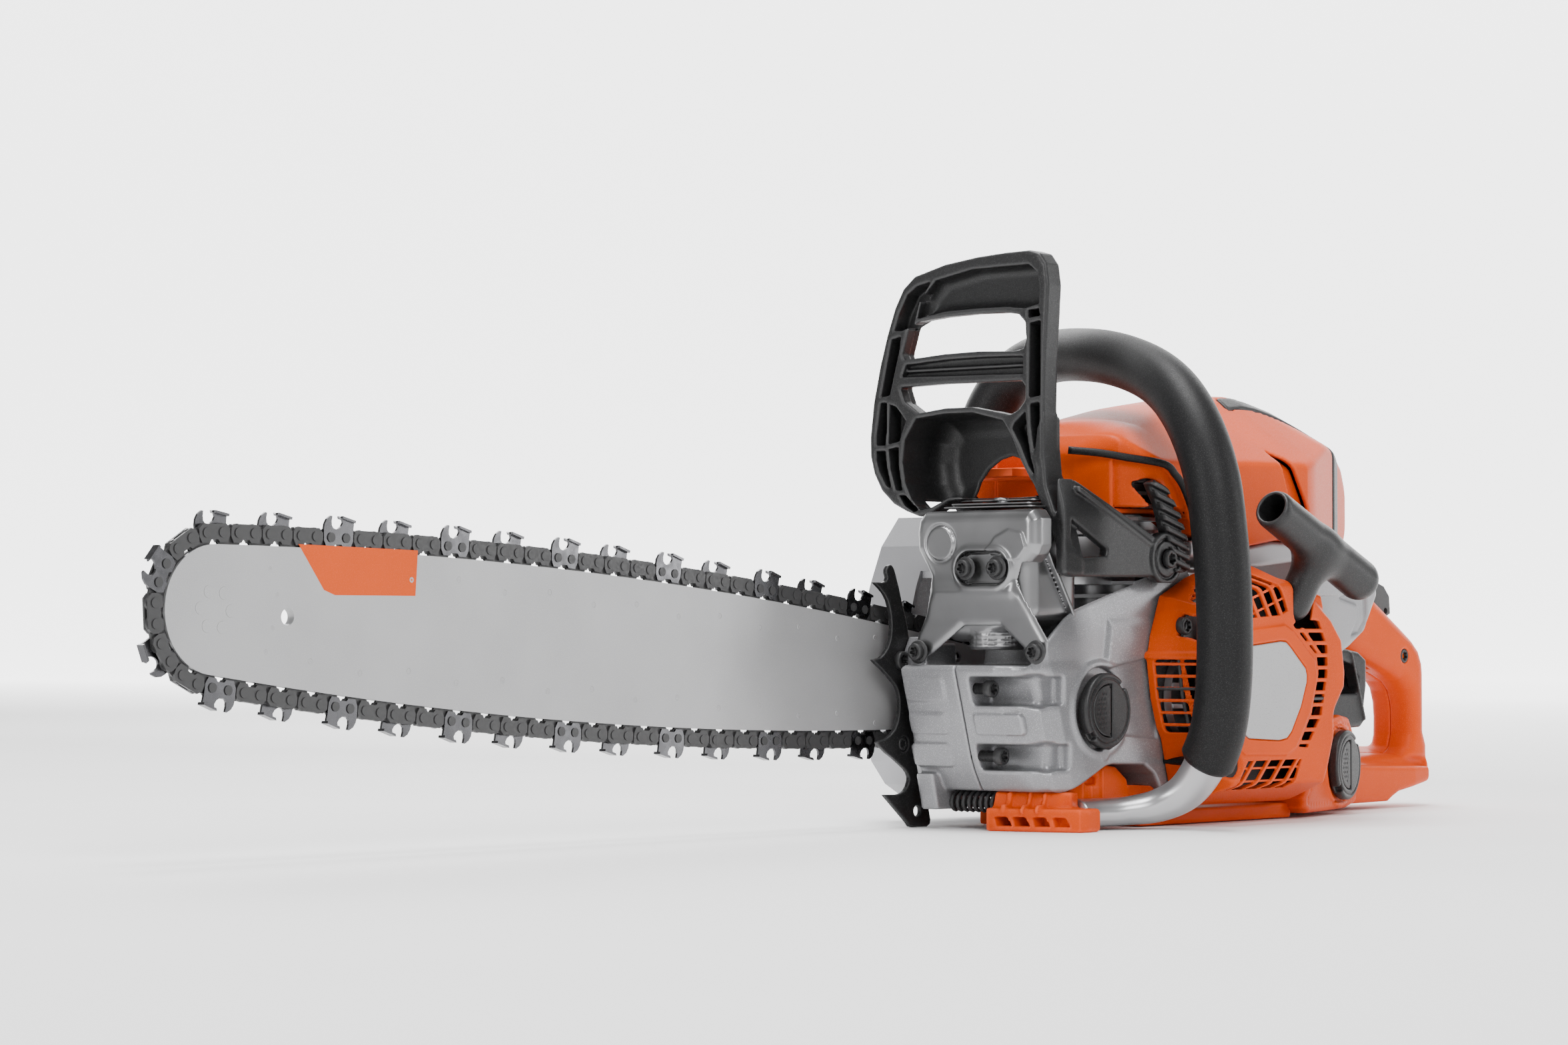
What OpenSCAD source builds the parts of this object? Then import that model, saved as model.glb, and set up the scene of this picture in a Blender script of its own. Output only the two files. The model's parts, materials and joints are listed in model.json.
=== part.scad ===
// Petrol chainsaw standing on level ground, bar pointing along -X, starter side along -Y.
// Working frame: y = 0 is the middle plane of the bar and z = 0 is the ground.
// placed() then moves everything so that the origin is under the middle of the whole saw.

/* [Frame] */
// Middle of the whole saw along the bar, in the working frame
origin_x = -151.47; // [-200:0.01:-100]
// Middle of the whole saw across the bar, in the working frame
origin_y = -61.04; // [-90:0.01:-40]

/* [Bar] */
// Upward tilt of the bar, degrees
bar_tilt = 4.17; // [0:0.01:6]
// Nose sprocket centre, along the bar
nose_x = -596.5; // [-640:0.5:-560]
// Nose sprocket centre, height
nose_z = 116.3; // [110:0.1:125]
// Length of the bar behind the nose sprocket centre
bar_run = 584; // [560:1:586]
// Thickness of the middle plate, which sets the groove
gauge = 1.6; // [1.3:0.1:1.6]
// Thickness of each outer plate
plate_t = 1.5; // [1.2:0.1:1.8]

/* [Chain] */
// Distance between neighbouring chain rivets
rivet_step = 9.525; // [9.4:0.005:9.6]
// Number of drive links in the loop
link_count = 74; // [72:2:76]
// Radius of the rivet line round the nose
nose_r = 35.4; // [34:0.1:37]
// Radius of the rivet line round the drive sprocket
drive_r = 21.5; // [20:0.1:23]
// Radius of the long arcs of the bar's edges at the rivet line
side_r = 3500; // [3000:50:5000]
// How far the first rivet is from the start of the loop
chain_phase = 4.25; // [0:0.05:5]

/* [Engine] */
// Middle plane of the engine across the saw
engine_y = -62; // [-64:1:-60]
// Piston stroke
stroke = 35; // [30:1:36]
// Radius of the cylinder bore
bore_r = 23.5; // [20:0.1:24]

/* [Handles] */
// Radius of the front handle's grip sleeve
grip_r = 15; // [14:0.5:16]
// Radius of the front handle's tube
tube_r = 12; // [10:0.5:12.5]
// Half of the width of the rear handle
rear_half = 17; // [15:1:19]
// Middle plane of the rear handle
rear_y = -50; // [-54:1:-46]

/* [Running fits] */
// Radial clearance of a shaft in its bearing
fit = 0.05; // [0.02:0.01:0.1]

/* [Hidden] */
$fn = 48;

// ---- general helpers -------------------------------------------------------------------

module placed() translate([-origin_x, -origin_y, 0]) children();

// Extrudes an outline drawn in (x, z) from y0 to y1.
module side_plate(y0, y1) translate([0, y1, 0]) rotate([90, 0, 0]) linear_extrude(y1 - y0) children();

// Extrudes an outline drawn in (y, z) from x0 to x1.
module front_plate(x0, x1) translate([x0, 0, 0]) rotate([90, 0, 90]) linear_extrude(x1 - x0) children();

// Block from one corner to the opposite one.
module block(lo, hi) translate(lo) cube(hi - lo);

// Round bar along Y at (x, z) from y0 to y1.
module rod_y(x, z, r, y0, y1) translate([x, y1, z]) rotate([90, 0, 0]) cylinder(r = r, h = y1 - y0);

// Ring along Y.
module ring_y(x, z, r_out, r_in, y0, y1) difference() {
  rod_y(x, z, r_out, y0, y1);
  rod_y(x, z, r_in, y0 - 1, y1 + 1);
}

function unit(v) = v / norm(v);
function mix(a, b, t) = a + (b - a) * t;

// Smooth curve through hand-picked points, with a few stations between neighbours.
function curve_at(p, i, t) =
  let (n = len(p), a = p[max(i - 1, 0)], b = p[i], c = p[min(i + 1, n - 1)], d = p[min(i + 2, n - 1)])
  0.5 * ((2 * b) + (c - a) * t + (2 * a - 5 * b + 4 * c - d) * t * t
    + (3 * b - a - 3 * c + d) * t * t * t);
function curve(p, steps) =
  [for (i = [0 : len(p) - 2], k = [0 : steps - 1]) curve_at(p, i, k / steps), p[len(p) - 1]];

// Rings of points round a curve, k of them to each ring; squash gives the height of each of the
// last rings as a share of its width.
function ring_points(c, r, k, up = [0, 0, 1], squash = []) = [for (i = [0 : len(c) - 1])
  let (d = unit(c[min(i + 1, len(c) - 1)] - c[max(i - 1, 0)]),
    a = unit(cross(d, up)), b = cross(d, a), m = i - len(c) + len(squash),
    s = m < 0 ? 1 : squash[m])
  for (j = [0 : k - 1])
    let (p = r * (cos(360 * j / k) * a + sin(360 * j / k) * b)) c[i] + [p[0], p[1], s * p[2]]];
// Side faces between the rings; they face outwards, or inwards when turned is true.
function ring_faces(n, k, first, turned = false) = [for (i = [0 : n - 2], j = [0 : k - 1])
  let (a = first + i * k + j, b = first + i * k + (j + 1) % k)
  turned ? [a, a + k, b + k, b] : [a, b, b + k, a + k]];

// Solid round tube of radius r swept along the points c.
module swept(c, r, sides, up = [0, 0, 1], squash = []) {
  n = len(c);
  ends = [[for (j = [sides - 1 : -1 : 0]) j], [for (j = [0 : sides - 1]) (n - 1) * sides + j]];
  polyhedron(points = ring_points(c, r, sides, up, squash), faces = concat(ring_faces(n, sides, 0), ends));
}

// Sleeve round the points c, open at both ends.
module swept_sleeve(c, r_out, r_in, sides, up) {
  n = len(c);
  skin = concat(ring_faces(n, sides, 0), ring_faces(n, sides, n * sides, true));
  ends = [for (e = [0, n - 1], j = [0 : sides - 1])
    let (a = e * sides + j, b = e * sides + (j + 1) % sides, m = n * sides)
    e == 0 ? [a, a + m, b + m, b] : [a, b, b + m, a + m]];
  polyhedron(points = concat(ring_points(c, r_out, sides, up), ring_points(c, r_in, sides, up)),
    faces = concat(skin, ends));
}

// Helical spring wire of radius w round the Y axis.
module helix_y(x, z, r, w, y0, y1, turns, sides = 6, per_turn = 12) {
  n = turns * per_turn;
  swept([for (i = [0 : n]) [x + r * cos(360 * i / per_turn), mix(y0, y1, i / n),
    z + r * sin(360 * i / per_turn)]], w, sides, [0, 1, 0]);
}

// ---- chain path ------------------------------------------------------------------------
// Two long arcs, tangent to the nose circle at [0, 0] and to the drive circle at [span, 0].

function arc_mid(span) = (span * span - (nose_r - drive_r) * (2 * side_r - nose_r - drive_r)) / (2 * span);
function nose_lean(span) = asin(arc_mid(span) / (side_r - nose_r));
function drive_lean(span) = asin((span - arc_mid(span)) / (side_r - drive_r));
function arc_drop(span) = sqrt(pow(side_r - nose_r, 2) - pow(arc_mid(span), 2));
function long_arc(span) = side_r * (nose_lean(span) + drive_lean(span)) * PI / 180;
function nose_arc(span) = nose_r * (180 - 2 * nose_lean(span)) * PI / 180;
function drive_arc(span) = drive_r * (180 - 2 * drive_lean(span)) * PI / 180;
function loop_length(span) = 2 * long_arc(span) + nose_arc(span) + drive_arc(span);
function solve_span(span, rounds) =
  rounds == 0 ? span : solve_span(span + (2 * link_count * rivet_step - loop_length(span)) / 2, rounds - 1);

rivet_count = 2 * link_count;
span = solve_span(610, 6);
arc_u = arc_mid(span);
arc_w = arc_drop(span);
lean_n = nose_lean(span);
lean_d = drive_lean(span);
run_a = long_arc(span);
run_b = run_a + drive_arc(span);
run_c = run_b + run_a;

// Place on the rivet line and heading, for a distance s from the nose along the top.
function chain_at(s) =
  s < run_a ? let (f = s / side_r * 180 / PI - lean_n)
    [arc_u + side_r * sin(f), side_r * cos(f) - arc_w, -f]
  : s < run_b ? let (f = 90 - lean_d - (s - run_a) / drive_r * 180 / PI)
    [span + drive_r * cos(f), drive_r * sin(f), f - 90]
  : s < run_c ? let (f = lean_d - (s - run_b) / side_r * 180 / PI)
    [arc_u + side_r * sin(f), arc_w - side_r * cos(f), 180 + f]
  : let (f = 270 - lean_n - (s - run_c) / nose_r * 180 / PI)
    [nose_r * cos(f), nose_r * sin(f), f - 90];
rivets = [for (i = [0 : rivet_count - 1]) let (p = chain_at(i * rivet_step + chain_phase)) [p[0], p[1]]];

crank_x = nose_x + span * cos(bar_tilt);
crank_z = nose_z - span * sin(bar_tilt);

// Frame of the bar: x back along the bar, z up across it, origin at the nose sprocket.
module on_bar() placed() translate([nose_x, 0, nose_z]) rotate([0, bar_tilt, 0]) children();

// Puts children at the middle of the link that starts at rivet i.
module at_link(i) {
  a = rivets[i];
  b = rivets[(i + 1) % rivet_count];
  m = (a + b) / 2;
  translate([m[0], 0, m[1]]) rotate([0, -atan2(b[1] - a[1], b[0] - a[0]), 0]) children();
}

half_step = rivet_step / 2;
eye_r = 4.3;
pin_r = 1.6;
link_half = 0.73;
strap_in = 0.8;
strap_out = 2.05;
head_out = 2.55;
rail_gap = 5.5;
groove = 8;

module eyes() for (x = [-half_step, half_step]) translate([x, 0]) circle(eye_r);
module pin_holes() for (x = [-half_step, half_step]) translate([x, 0]) circle(pin_r + fit);

// Half lengths and heights of a strap; its foot has a notch between two shoes.
module strap_outline() difference() {
  polygon([[-9.2, -1.5], [-9.2, 1.8], [-7, 4], [7, 4], [9.2, 1.8], [9.2, -1.5], [7.6, -4.6], [3, -4.6],
    [2, -3.2], [-2, -3.2], [-3, -4.6], [-7.6, -4.6]]);
  pin_holes();
}

module drive_outline() difference() {
  union() {
    eyes();
    polygon([[-half_step, 3.4], [half_step, 3.4], [8, -2.6], [5.6, -6.5], [1.6, -10.6], [-0.6, -11.2],
      [-3.4, -9.4], [-6.6, -5], [-8, -2.6]]);
  }
  pin_holes();
}

// Cutter side: depth gauge ahead at -x, tooth behind at +x, round gullet between them.
module cutter_outline() difference() {
  polygon([[-9.2, -1.5], [-9.4, 3.6], [-9, 6.2], [-7.6, 8.6], [-5.2, 10.2], [-4.2, 10], [-4.6, 7.6],
    [-4.4, 5.6], [-3.4, 4.4], [-1.8, 3.9], [-0.2, 4.2], [1.6, 5.4], [2.6, 7.2], [2.2, 9], [0.6, 9.6],
    [1.6, 10.2], [9.8, 8.4], [9.3, 4], [9.2, -1.5], [7.6, -4.6], [3, -4.6], [2, -3.2], [-2, -3.2],
    [-3, -4.6], [-7.6, -4.6]]);
  pin_holes();
}

module cutter(side) {
  lo = side < 0 ? -strap_out : strap_in;
  side_plate(lo, lo + strap_out - strap_in) cutter_outline();
  top_lo = side < 0 ? -strap_out - 1.2 : -1.2;
  side_plate(top_lo, top_lo + strap_out + 2.4) polygon([[1.6, 10.2], [9.8, 8.4], [9.6, 7.2], [2, 9]]);
}

// Odd gaps carry a cutter on one side at every second place, and straps everywhere else.
function has_cutter(k, side) = k % 4 == (side < 0 ? 3 : 1);

module tie_straps() color("dimgray") on_bar() for (k = [0 : link_count - 1]) {
  if (!has_cutter(k, -1)) at_link(2 * k + 1) side_plate(-strap_out, -strap_in) strap_outline();
  if (!has_cutter(k, 1)) at_link(2 * k + 1) side_plate(strap_in, strap_out) strap_outline();
}
module left_cutters() color("silver") on_bar()
  for (k = [0 : link_count - 1]) if (has_cutter(k, -1)) at_link(2 * k + 1) cutter(-1);
module right_cutters() color("silver") on_bar()
  for (k = [0 : link_count - 1]) if (has_cutter(k, 1)) at_link(2 * k + 1) cutter(1);
module drive_links() color("dimgray") on_bar()
  for (k = [0 : link_count - 1]) at_link(2 * k) side_plate(-link_half, link_half) drive_outline();
module chain_rivets() color("gray") on_bar() for (p = rivets) {
  rod_y(p[0], p[1], pin_r, -strap_out - 0.05, strap_out + 0.05);
  rod_y(p[0], p[1], 2.3, -head_out, -strap_out - 0.05);
  rod_y(p[0], p[1], 2.3, strap_out + 0.05, head_out);
}

// ---- bar -------------------------------------------------------------------------------

stations = 24;
// Upper edge of the bar from the nose top to the tail, moved in from the rivet line.
function edge(inset) = [for (i = [0 : stations])
  let (f = mix(-lean_n, asin((bar_run - arc_u) / side_r), i / stations))
  [arc_u + (side_r - inset) * sin(f), (side_r - inset) * cos(f) - arc_w]];
function nose_edge(inset) = [for (i = [0 : stations])
  let (f = mix(270 - lean_n, 90 + lean_n, i / stations)) (nose_r - inset) * [cos(f), sin(f)]];
function flip(p) = [for (i = [len(p) - 1 : -1 : 0]) [p[i][0], -p[i][1]]];

stud_u = [span - 88, span - 60];
slot_half = 4.3;
tip_hole_u = 44;
tip_hole_r = 4;
nose_rivet_ring = 9.1;
plate_out = gauge / 2 + plate_t;

module bar_slot() {
  for (u = [span - 120, span - 45]) translate([u, 0]) circle(slot_half);
  translate([span - 120, -slot_half]) square([75, 2 * slot_half]);
  for (w = [-15, 15]) translate([span - 74, w]) circle(3.2);
  translate([tip_hole_u, 0]) circle(tip_hole_r);
}
module bar_outline(inset) polygon(concat(nose_edge(inset), edge(inset), flip(edge(inset))));

module outer_plate() difference() {
  bar_outline(rail_gap);
  bar_slot();
  for (a = [0 : 60 : 300]) translate(nose_rivet_ring * [cos(a), sin(a)]) circle(2.9 + fit);
}
module bar_left_plate() color("silver") on_bar() side_plate(-plate_out, -gauge / 2) outer_plate();
module bar_right_plate() color("silver") on_bar() side_plate(gauge / 2, plate_out) outer_plate();
module bar_core() color("gray") on_bar() side_plate(-gauge / 2 + 0.01, gauge / 2 - 0.01) difference() {
  bar_outline(rail_gap + groove);
  bar_slot();
  circle(26);
}
module nose_sprocket() color("gray") on_bar() side_plate(-0.72, 0.72) difference() {
  circle(23.8);
  circle(15 + fit);
  for (a = [0 : 360 / 11 : 359]) translate(26.5 * [cos(a), sin(a)]) circle(5);
}
module nose_bearing() color("silver") on_bar() side_plate(-0.74, 0.74) {
  difference() {
    circle(13);
    for (a = [0 : 60 : 300]) translate(nose_rivet_ring * [cos(a), sin(a)]) circle(2.9 + fit);
  }
  for (a = [0 : 18 : 342]) translate(14.03 * [cos(a), sin(a)]) circle(0.92);
}
module nose_rivets() color("silver") on_bar() for (a = [0 : 60 : 300])
  rod_y(nose_rivet_ring * cos(a), nose_rivet_ring * sin(a), 2.9, -plate_out - 0.1, plate_out + 0.1);

// ---- clutch side -----------------------------------------------------------------------

pad_y = -plate_out - 0.05;
spike_y = -14;
spike_screws = [[-121, 90.8], [-117.3, 45.5]];
module bumper_spikes() color("dimgray") placed() side_plate(spike_y, spike_y + 2.8) difference() {
  polygon([[-128, 142.5], [-130.5, 142], [-132, 140], [-132.2, 138], [-131, 135.5], [-132, 133.6],
    [-135, 132.8], [-142.5, 133], [-137, 129.5], [-133.4, 126.6], [-130.8, 123.3], [-129.1, 119.4],
    [-127.9, 114.9], [-127.4, 109.7], [-127.8, 104.5], [-128.8, 101.2], [-130.8, 97.3],
    [-133.9, 94.1], [-137, 92.2], [-143.8, 91.2], [-141, 89.4], [-136, 86.3], [-130.8, 82.7],
    [-126.4, 79.2], [-123.8, 77], [-122.1, 74.5], [-120.8, 70], [-120.6, 66], [-121.2, 61.5],
    [-122.4, 57.5], [-124.7, 53.5], [-128.3, 50.6], [-131.8, 48.8], [-140.2, 46.9], [-137, 44.5],
    [-131.8, 41], [-125.7, 37.8], [-119.5, 34], [-116.3, 32], [-113.9, 29.8], [-112.6, 27.4],
    [-112.9, 25], [-114.4, 22.3], [-116.5, 20.2], [-119, 18.9], [-122.6, 18.3], [-134.2, 18.6],
    [-114.4, 3], [-112.4, 0.8], [-110, 0], [-97.5, 0], [-95, 1.6], [-94.5, 4], [-96, 10],
    [-99, 17], [-104, 26], [-108, 40], [-110, 60], [-111, 84], [-112, 100], [-115.4, 113.6],
    [-118.5, 121.4], [-121.5, 130.5], [-124.5, 138], [-126, 141]]);
  translate([-106, 9]) circle(3);
  for (p = spike_screws) translate(p) circle(2.6);
}
module bar_studs() color("gray") placed() for (u = stud_u)
  rod_y(nose_x + u * cos(bar_tilt), nose_z - u * sin(bar_tilt), 4, -22, 50.5);
module bar_nuts() color("dimgray") placed() for (u = stud_u) difference() {
  union() {
    rod_y(nose_x + u * cos(bar_tilt), nose_z - u * sin(bar_tilt), 10, 45.6, 47.2);
    translate([nose_x + u * cos(bar_tilt), 55, nose_z - u * sin(bar_tilt)]) rotate([90, 0, 0])
      cylinder(r = 7.5, h = 8, $fn = 6);
  }
  rod_y(nose_x + u * cos(bar_tilt), nose_z - u * sin(bar_tilt), 4 + fit, 40, 60);
}
module stud_holes(r, y0, y1) for (u = stud_u)
  rod_y(nose_x + u * cos(bar_tilt), nose_z - u * sin(bar_tilt), r, y0, y1);

function cover_outline(t) = [[-83 + t, 70], [-82 + t, 110], [-75 + t, 132], [-65 + t, 154 - t / 2],
  [-50, 170.5 - t], [-26, 170.5 - t], [30, 150 - t], [62, 130 - t], [84 - t, 100], [88 - t, 66],
  [74 - t, 30], [52 - t, 14 + t], [-46, 13 + t], [-62 + t, 21 + t], [-74 + t, 34 + t]];
cover_in = 3.5;
module clutch_cover() color("silver") placed() {
  difference() {
    side_plate(cover_in, 45.5) polygon(cover_outline(0));
    side_plate(cover_in - 1, 42.5) polygon(cover_outline(3));
    block([-90, cover_in - 1, 42], [-70, 12, 140]);
    stud_holes(4.4, 40, 50);
    translate([33.8, 42.2, 147.8]) cylinder(r = tube_r + 0.6, h = 22);
  }
  rod_y(pivot_x, pivot_z, 5, -10, 43);
}
module clutch_drum() color("dimgray") placed() difference() {
  union() {
    rod_y(crank_x, crank_z, 9.6, -6, 9);
    rod_y(crank_x, crank_z, 15.6, -4.6, -1);
    rod_y(crank_x, crank_z, 15.6, 1, 4.6);
    rod_y(crank_x, crank_z, 37, 9, 11);
    ring_y(crank_x, crank_z, 37, 34.6, 10, 30);
  }
  rod_y(crank_x, crank_z, 6 + fit, -10, 12);
}
module clutch_hub() color("gray") placed() {
  ring_y(crank_x, crank_z, 12, 6 + fit, 12, 26);
  for (a = [0, 120, 240]) difference() {
    ring_y(crank_x, crank_z, 33.5, 13, 13, 25);
    translate([crank_x, 0, crank_z]) rotate([0, a, 0]) block([-60, 10, -60], [60, 30, -5]);
    translate([crank_x, 0, crank_z]) rotate([0, a + 65, 0]) block([-60, 10, -60], [60, 30, -5]);
  }
  for (a = [0, 120, 240]) translate([crank_x, 0, crank_z]) rotate([0, -32 - a, 0])
    translate([11, 0, 0]) block([0, 14, -3], [10, 24, 3]);
}
module brake_band() color("gray") placed() difference() {
  ring_y(crank_x, crank_z, 38.9, 37.6, 13, 27);
  block([crank_x - 60, 10, crank_z - 4], [crank_x - 20, 30, crank_z + 4]);
}
module oil_pump() color("dimgray") placed() difference() {
  rod_y(crank_x, crank_z, 19, -13.9, -7);
  rod_y(crank_x, crank_z, 8, -20, 0);
}
module chain_catcher() color("dimgray") placed() block([-96, -10.5, 10.5], [-72, -3, 22]);

// ---- engine ----------------------------------------------------------------------------

pivot_x = -13;
pivot_z = 146;
cover_screws = [[-13, 109.5], [-6, 36]];
case_l = -107;
case_gap = 0.3;
case_r = -22;
web_r = 30;
chamber_r = 31.5;
chamber_half = 16;
throw_r = stroke / 2;
rod_len = 65;
pin_z = crank_z + throw_r + rod_len;
deck_z = 112;

module crank_chamber() {
  rod_y(crank_x, crank_z, chamber_r, engine_y - chamber_half, engine_y + chamber_half);
  translate([crank_x, engine_y, crank_z]) cylinder(r = bore_r + 4.1, h = 60);
}
module bearing_seats() rod_y(crank_x, crank_z, 16, engine_y - 27, engine_y + 27);
module shaft_tunnel() rod_y(crank_x, crank_z, 9, -120, 0);

module case_outline() polygon([[-131, 87], [-112, 23], [60, 23], [78, 40], [84, 80], [70, deck_z],
  [-56, deck_z], [-60, 87]]);

module crankcase_right() color("silver") placed() difference() {
  union() {
    side_plate(engine_y + case_gap / 2, case_r) case_outline();
    side_plate(-32, case_r) polygon([[-112, 25], [-113, 10.5], [-86, 10.5], [-80, 25]]);
    side_plate(case_r - 4, -6) polygon([[-107, 41], [-107, 103], [-100, 103], [-98, 41]]);
    side_plate(-11.1, -6) polygon([[-128, 84], [-128, 97], [-102, 100], [-102, 80]]);
    side_plate(-11.1, -6) polygon([[-124, 39], [-124, 52], [-102, 55], [-102, 42]]);
    side_plate(case_r - 2, pad_y) difference() {
      polygon([[-92, 58], [-92, 100], [-20, 92], [-20, 60]]);
      translate([crank_x, crank_z]) circle(39.5);
    }
  }
  crank_chamber();
  bearing_seats();
  shaft_tunnel();
  stud_holes(4 + fit, -23, 5);
  rod_y(-122, 76, 3.05, engine_y - 10, engine_y + 14);
  rod_y(-113, 40, 3.05, engine_y - 10, engine_y + 14);
  for (p = spike_screws) rod_y(p[0], p[1], 2.55, -20, 0);
}
module crankcase_left() color("silver") placed() difference() {
  union() {
    side_plate(case_l, engine_y - case_gap / 2) case_outline();
    side_plate(case_l, -80) polygon([[-111, 20.5], [-60, 20.5], [-54, 30], [-24, 28], [-8, 11], [10, 11],
      [16, 40], [16, 86], [-128, 86]]);
    side_plate(case_l, -103.3) polygon([[-128, 84], [-106, 96], [-101, 104], [-91, 116], [-70, 127],
      [-34, 137], [-24, 150], [-2, 158], [8, 150], [16, 110], [16, 84]]);
  }
  crank_chamber();
  bearing_seats();
  shaft_tunnel();
  block([-138, -120, 69], [-70, -75, 83]);
  block([-130, -120, 32], [-70, -75, 46]);
  rod_y(-122, 76, 3.05, -80, -50);
  rod_y(-113, 40, 3.05, -80, -50);
  rod_y(-65, 64, 16.1, -110, -96);
  rod_y(pivot_x, pivot_z, 3.05, -110, -90);
  for (p = cover_screws) rod_y(p[0], p[1], 2.55, -110, -96);
}
module crankshaft() color("gray") placed() {
  rod_y(crank_x, crank_z, 7.5, engine_y + 15, -8.2);
  rod_y(crank_x, crank_z, 6, -8.2, 29);
  rod_y(crank_x, crank_z, 7.5, -109, engine_y - 15);
  rod_y(crank_x, crank_z, 5, -138, -109);
  rod_y(crank_x, crank_z, web_r, engine_y - 15, engine_y - 8);
  rod_y(crank_x, crank_z, web_r, engine_y + 8, engine_y + 15);
}
module crank_bearings() color("silver") placed() for (s = [-1, 1]) {
  lo = engine_y + s * 21.5 - 5;
  ring_y(crank_x, crank_z, 15.95, 12.6, lo, lo + 10);
  ring_y(crank_x, crank_z, 9.6, 7.5 + fit, lo, lo + 10);
  for (a = [0 : 45 : 315]) translate([crank_x + 11.1 * cos(a), lo + 5, crank_z + 11.1 * sin(a)]) sphere(1.45);
}
module connecting_rod() color("gray") placed() {
  difference() {
    union() {
      rod_y(crank_x, crank_z + throw_r, 12, engine_y - 5, engine_y + 5);
      rod_y(crank_x, pin_z, 8.5, engine_y - 5, engine_y + 5);
      block([crank_x - 5, engine_y - 3, crank_z + throw_r + 6], [crank_x + 5, engine_y + 3, pin_z]);
    }
    rod_y(crank_x, crank_z + throw_r, 8 + fit, engine_y - 10, engine_y + 10);
    rod_y(crank_x, pin_z, 5, engine_y - 10, engine_y + 10);
  }
  rod_y(crank_x, crank_z + throw_r, 8, engine_y - 7.8, engine_y + 7.8);
}
module piston() color("silver") placed() {
  difference() {
    translate([crank_x, engine_y, pin_z - 16]) cylinder(r = bore_r - fit, h = 36);
    translate([crank_x, engine_y, pin_z - 17]) cylinder(r = bore_r - 3, h = 33);
    rod_y(crank_x, pin_z, 4.95, engine_y - 30, engine_y + 30);
  }
  rod_y(crank_x, pin_z, 4.9, engine_y - 22, engine_y + 22);
}
module cylinder_fin(z, half_x, half_y) block([crank_x - half_x, engine_y - half_y, z],
  [crank_x + half_x, engine_y + half_y, z + 2]);
module cylinder_block() color("silver") placed() difference() {
  union() {
    translate([crank_x, engine_y, crank_z + 33]) cylinder(r = bore_r + 4, h = 7);
    translate([crank_x, engine_y, deck_z + 0.1]) cylinder(r = bore_r + 5, h = 88);
    block([crank_x - 32, engine_y - 30, deck_z + 0.1], [crank_x + 32, engine_y + 30, deck_z + 7]);
    for (i = [0 : 10]) cylinder_fin(deck_z + 13 + 7 * i, 40, 40);
    block([-69, engine_y - 22, 132], [crank_x, engine_y + 22, 158]);
  }
  translate([crank_x, engine_y, crank_z]) cylinder(r = bore_r, h = pin_z + 22 - crank_z);
  translate([crank_x, engine_y, deck_z + 70]) cylinder(r = 5.05, h = 40);
  block([-80, engine_y - 14, 139], [crank_x, engine_y + 14, 151]);
}
module spark_plug() color("white") placed() translate([crank_x, engine_y, deck_z + 76]) {
  cylinder(r = 5, h = 14);
  translate([0, 0, 12.2]) cylinder(r = 9, h = 8, $fn = 6);
  translate([0, 0, 20]) cylinder(r = 5, h = 12);
}
module flywheel() color("gray") placed() difference() {
  union() {
    rod_y(crank_x, crank_z, 29, -116, -111);
    for (a = [0 : 24 : 336]) translate([crank_x, -116, crank_z]) rotate([0, a, 0])
      block([15, -9, -1.2], [28, 1, 1.2]);
    rod_y(crank_x, crank_z, 12, -119, -111);
  }
  rod_y(crank_x, crank_z, 5 + fit, -130, -100);
}
module ignition_module() color("dimgray") placed() block([64, -121, 60], [86, -108.5, 90]);

// ---- muffler ---------------------------------------------------------------------------

module muffler_body() color("silver") placed() difference() {
  block([-123, -103, 99], [-72, -36, 172]);
  block([-121.5, -101.5, 100.5], [-73.5, -37.5, 170.5]);
  block([-80, engine_y - 14, 139], [-70, engine_y + 14, 151]);
  for (y = [-85, -64]) translate([-130, y, 140]) rotate([0, 90, 0]) cylinder(r = 2.6, h = 60);
}
module muffler_shield() color("silver") placed() difference() {
  front_plate(-126, -124.6) polygon([[-108, 172], [-108, 150], [-98, 128], [-114, 100], [-113, 92],
    [-108, 91], [-86, 106], [-56, 106], [-35, 90], [-29, 92], [-28, 98], [-43, 128], [-36, 150],
    [-33, 172]]);
  for (p = [[-85, 140], [-64, 140], [-31.5, 95.5], [-111, 95.5]])
    translate([-130, p[0], p[1]]) rotate([0, 90, 0]) cylinder(r = 2.6, h = 10);
}
module deflector_plate() color("gray") placed() {
  block([-116, -98, 172.2], [-80, -44, 174]);
  block([-112, -94, 174.2], [-84, -48, 176]);
}

// ---- screws ----------------------------------------------------------------------------

// Torx screw along +y, with its head's outer face at y = 0.
module torx_y(shank, r = 2.5, head_r = 4.6) {
  difference() {
    rod_y(0, 0, head_r, 0, 4.5);
    rod_y(0, 0, 2, -1, 2.2);
  }
  rod_y(0, 0, r, 4.4, 4.4 + shank);
}
module screw_left(x, y, z, shank, r = 2.5, head_r = 4.6) translate([x, y, z]) torx_y(shank, r, head_r);
module screw_front(x, y, z, shank) translate([x, y, z]) rotate([0, 0, -90]) torx_y(shank);
module torx_screws() color("dimgray") placed() {
  screw_left(-122, -79.6, 76, 22, 3);
  screw_left(-113, -79.6, 40, 22, 3);
  for (p = [[-31.5, 95.5], [-111, 95.5]]) screw_front(-130.6, p[0], p[1], 1.4);
  for (p = [[-85, 140], [-64, 140]]) screw_front(-130.6, p[0], p[1], 50);
  screw_left(pivot_x, -117.6, pivot_z, 9.5, 3, 7);
  for (p = cover_screws) screw_left(p[0], -129, p[1], 20);
  screw_left(handle_screw[0], rear_y - rear_half - 0.5, handle_screw[1], 24);
  for (p = spike_screws) screw_left(p[0], spike_y - 4.5, p[1], 8);
}

// ---- starter ---------------------------------------------------------------------------

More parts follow.
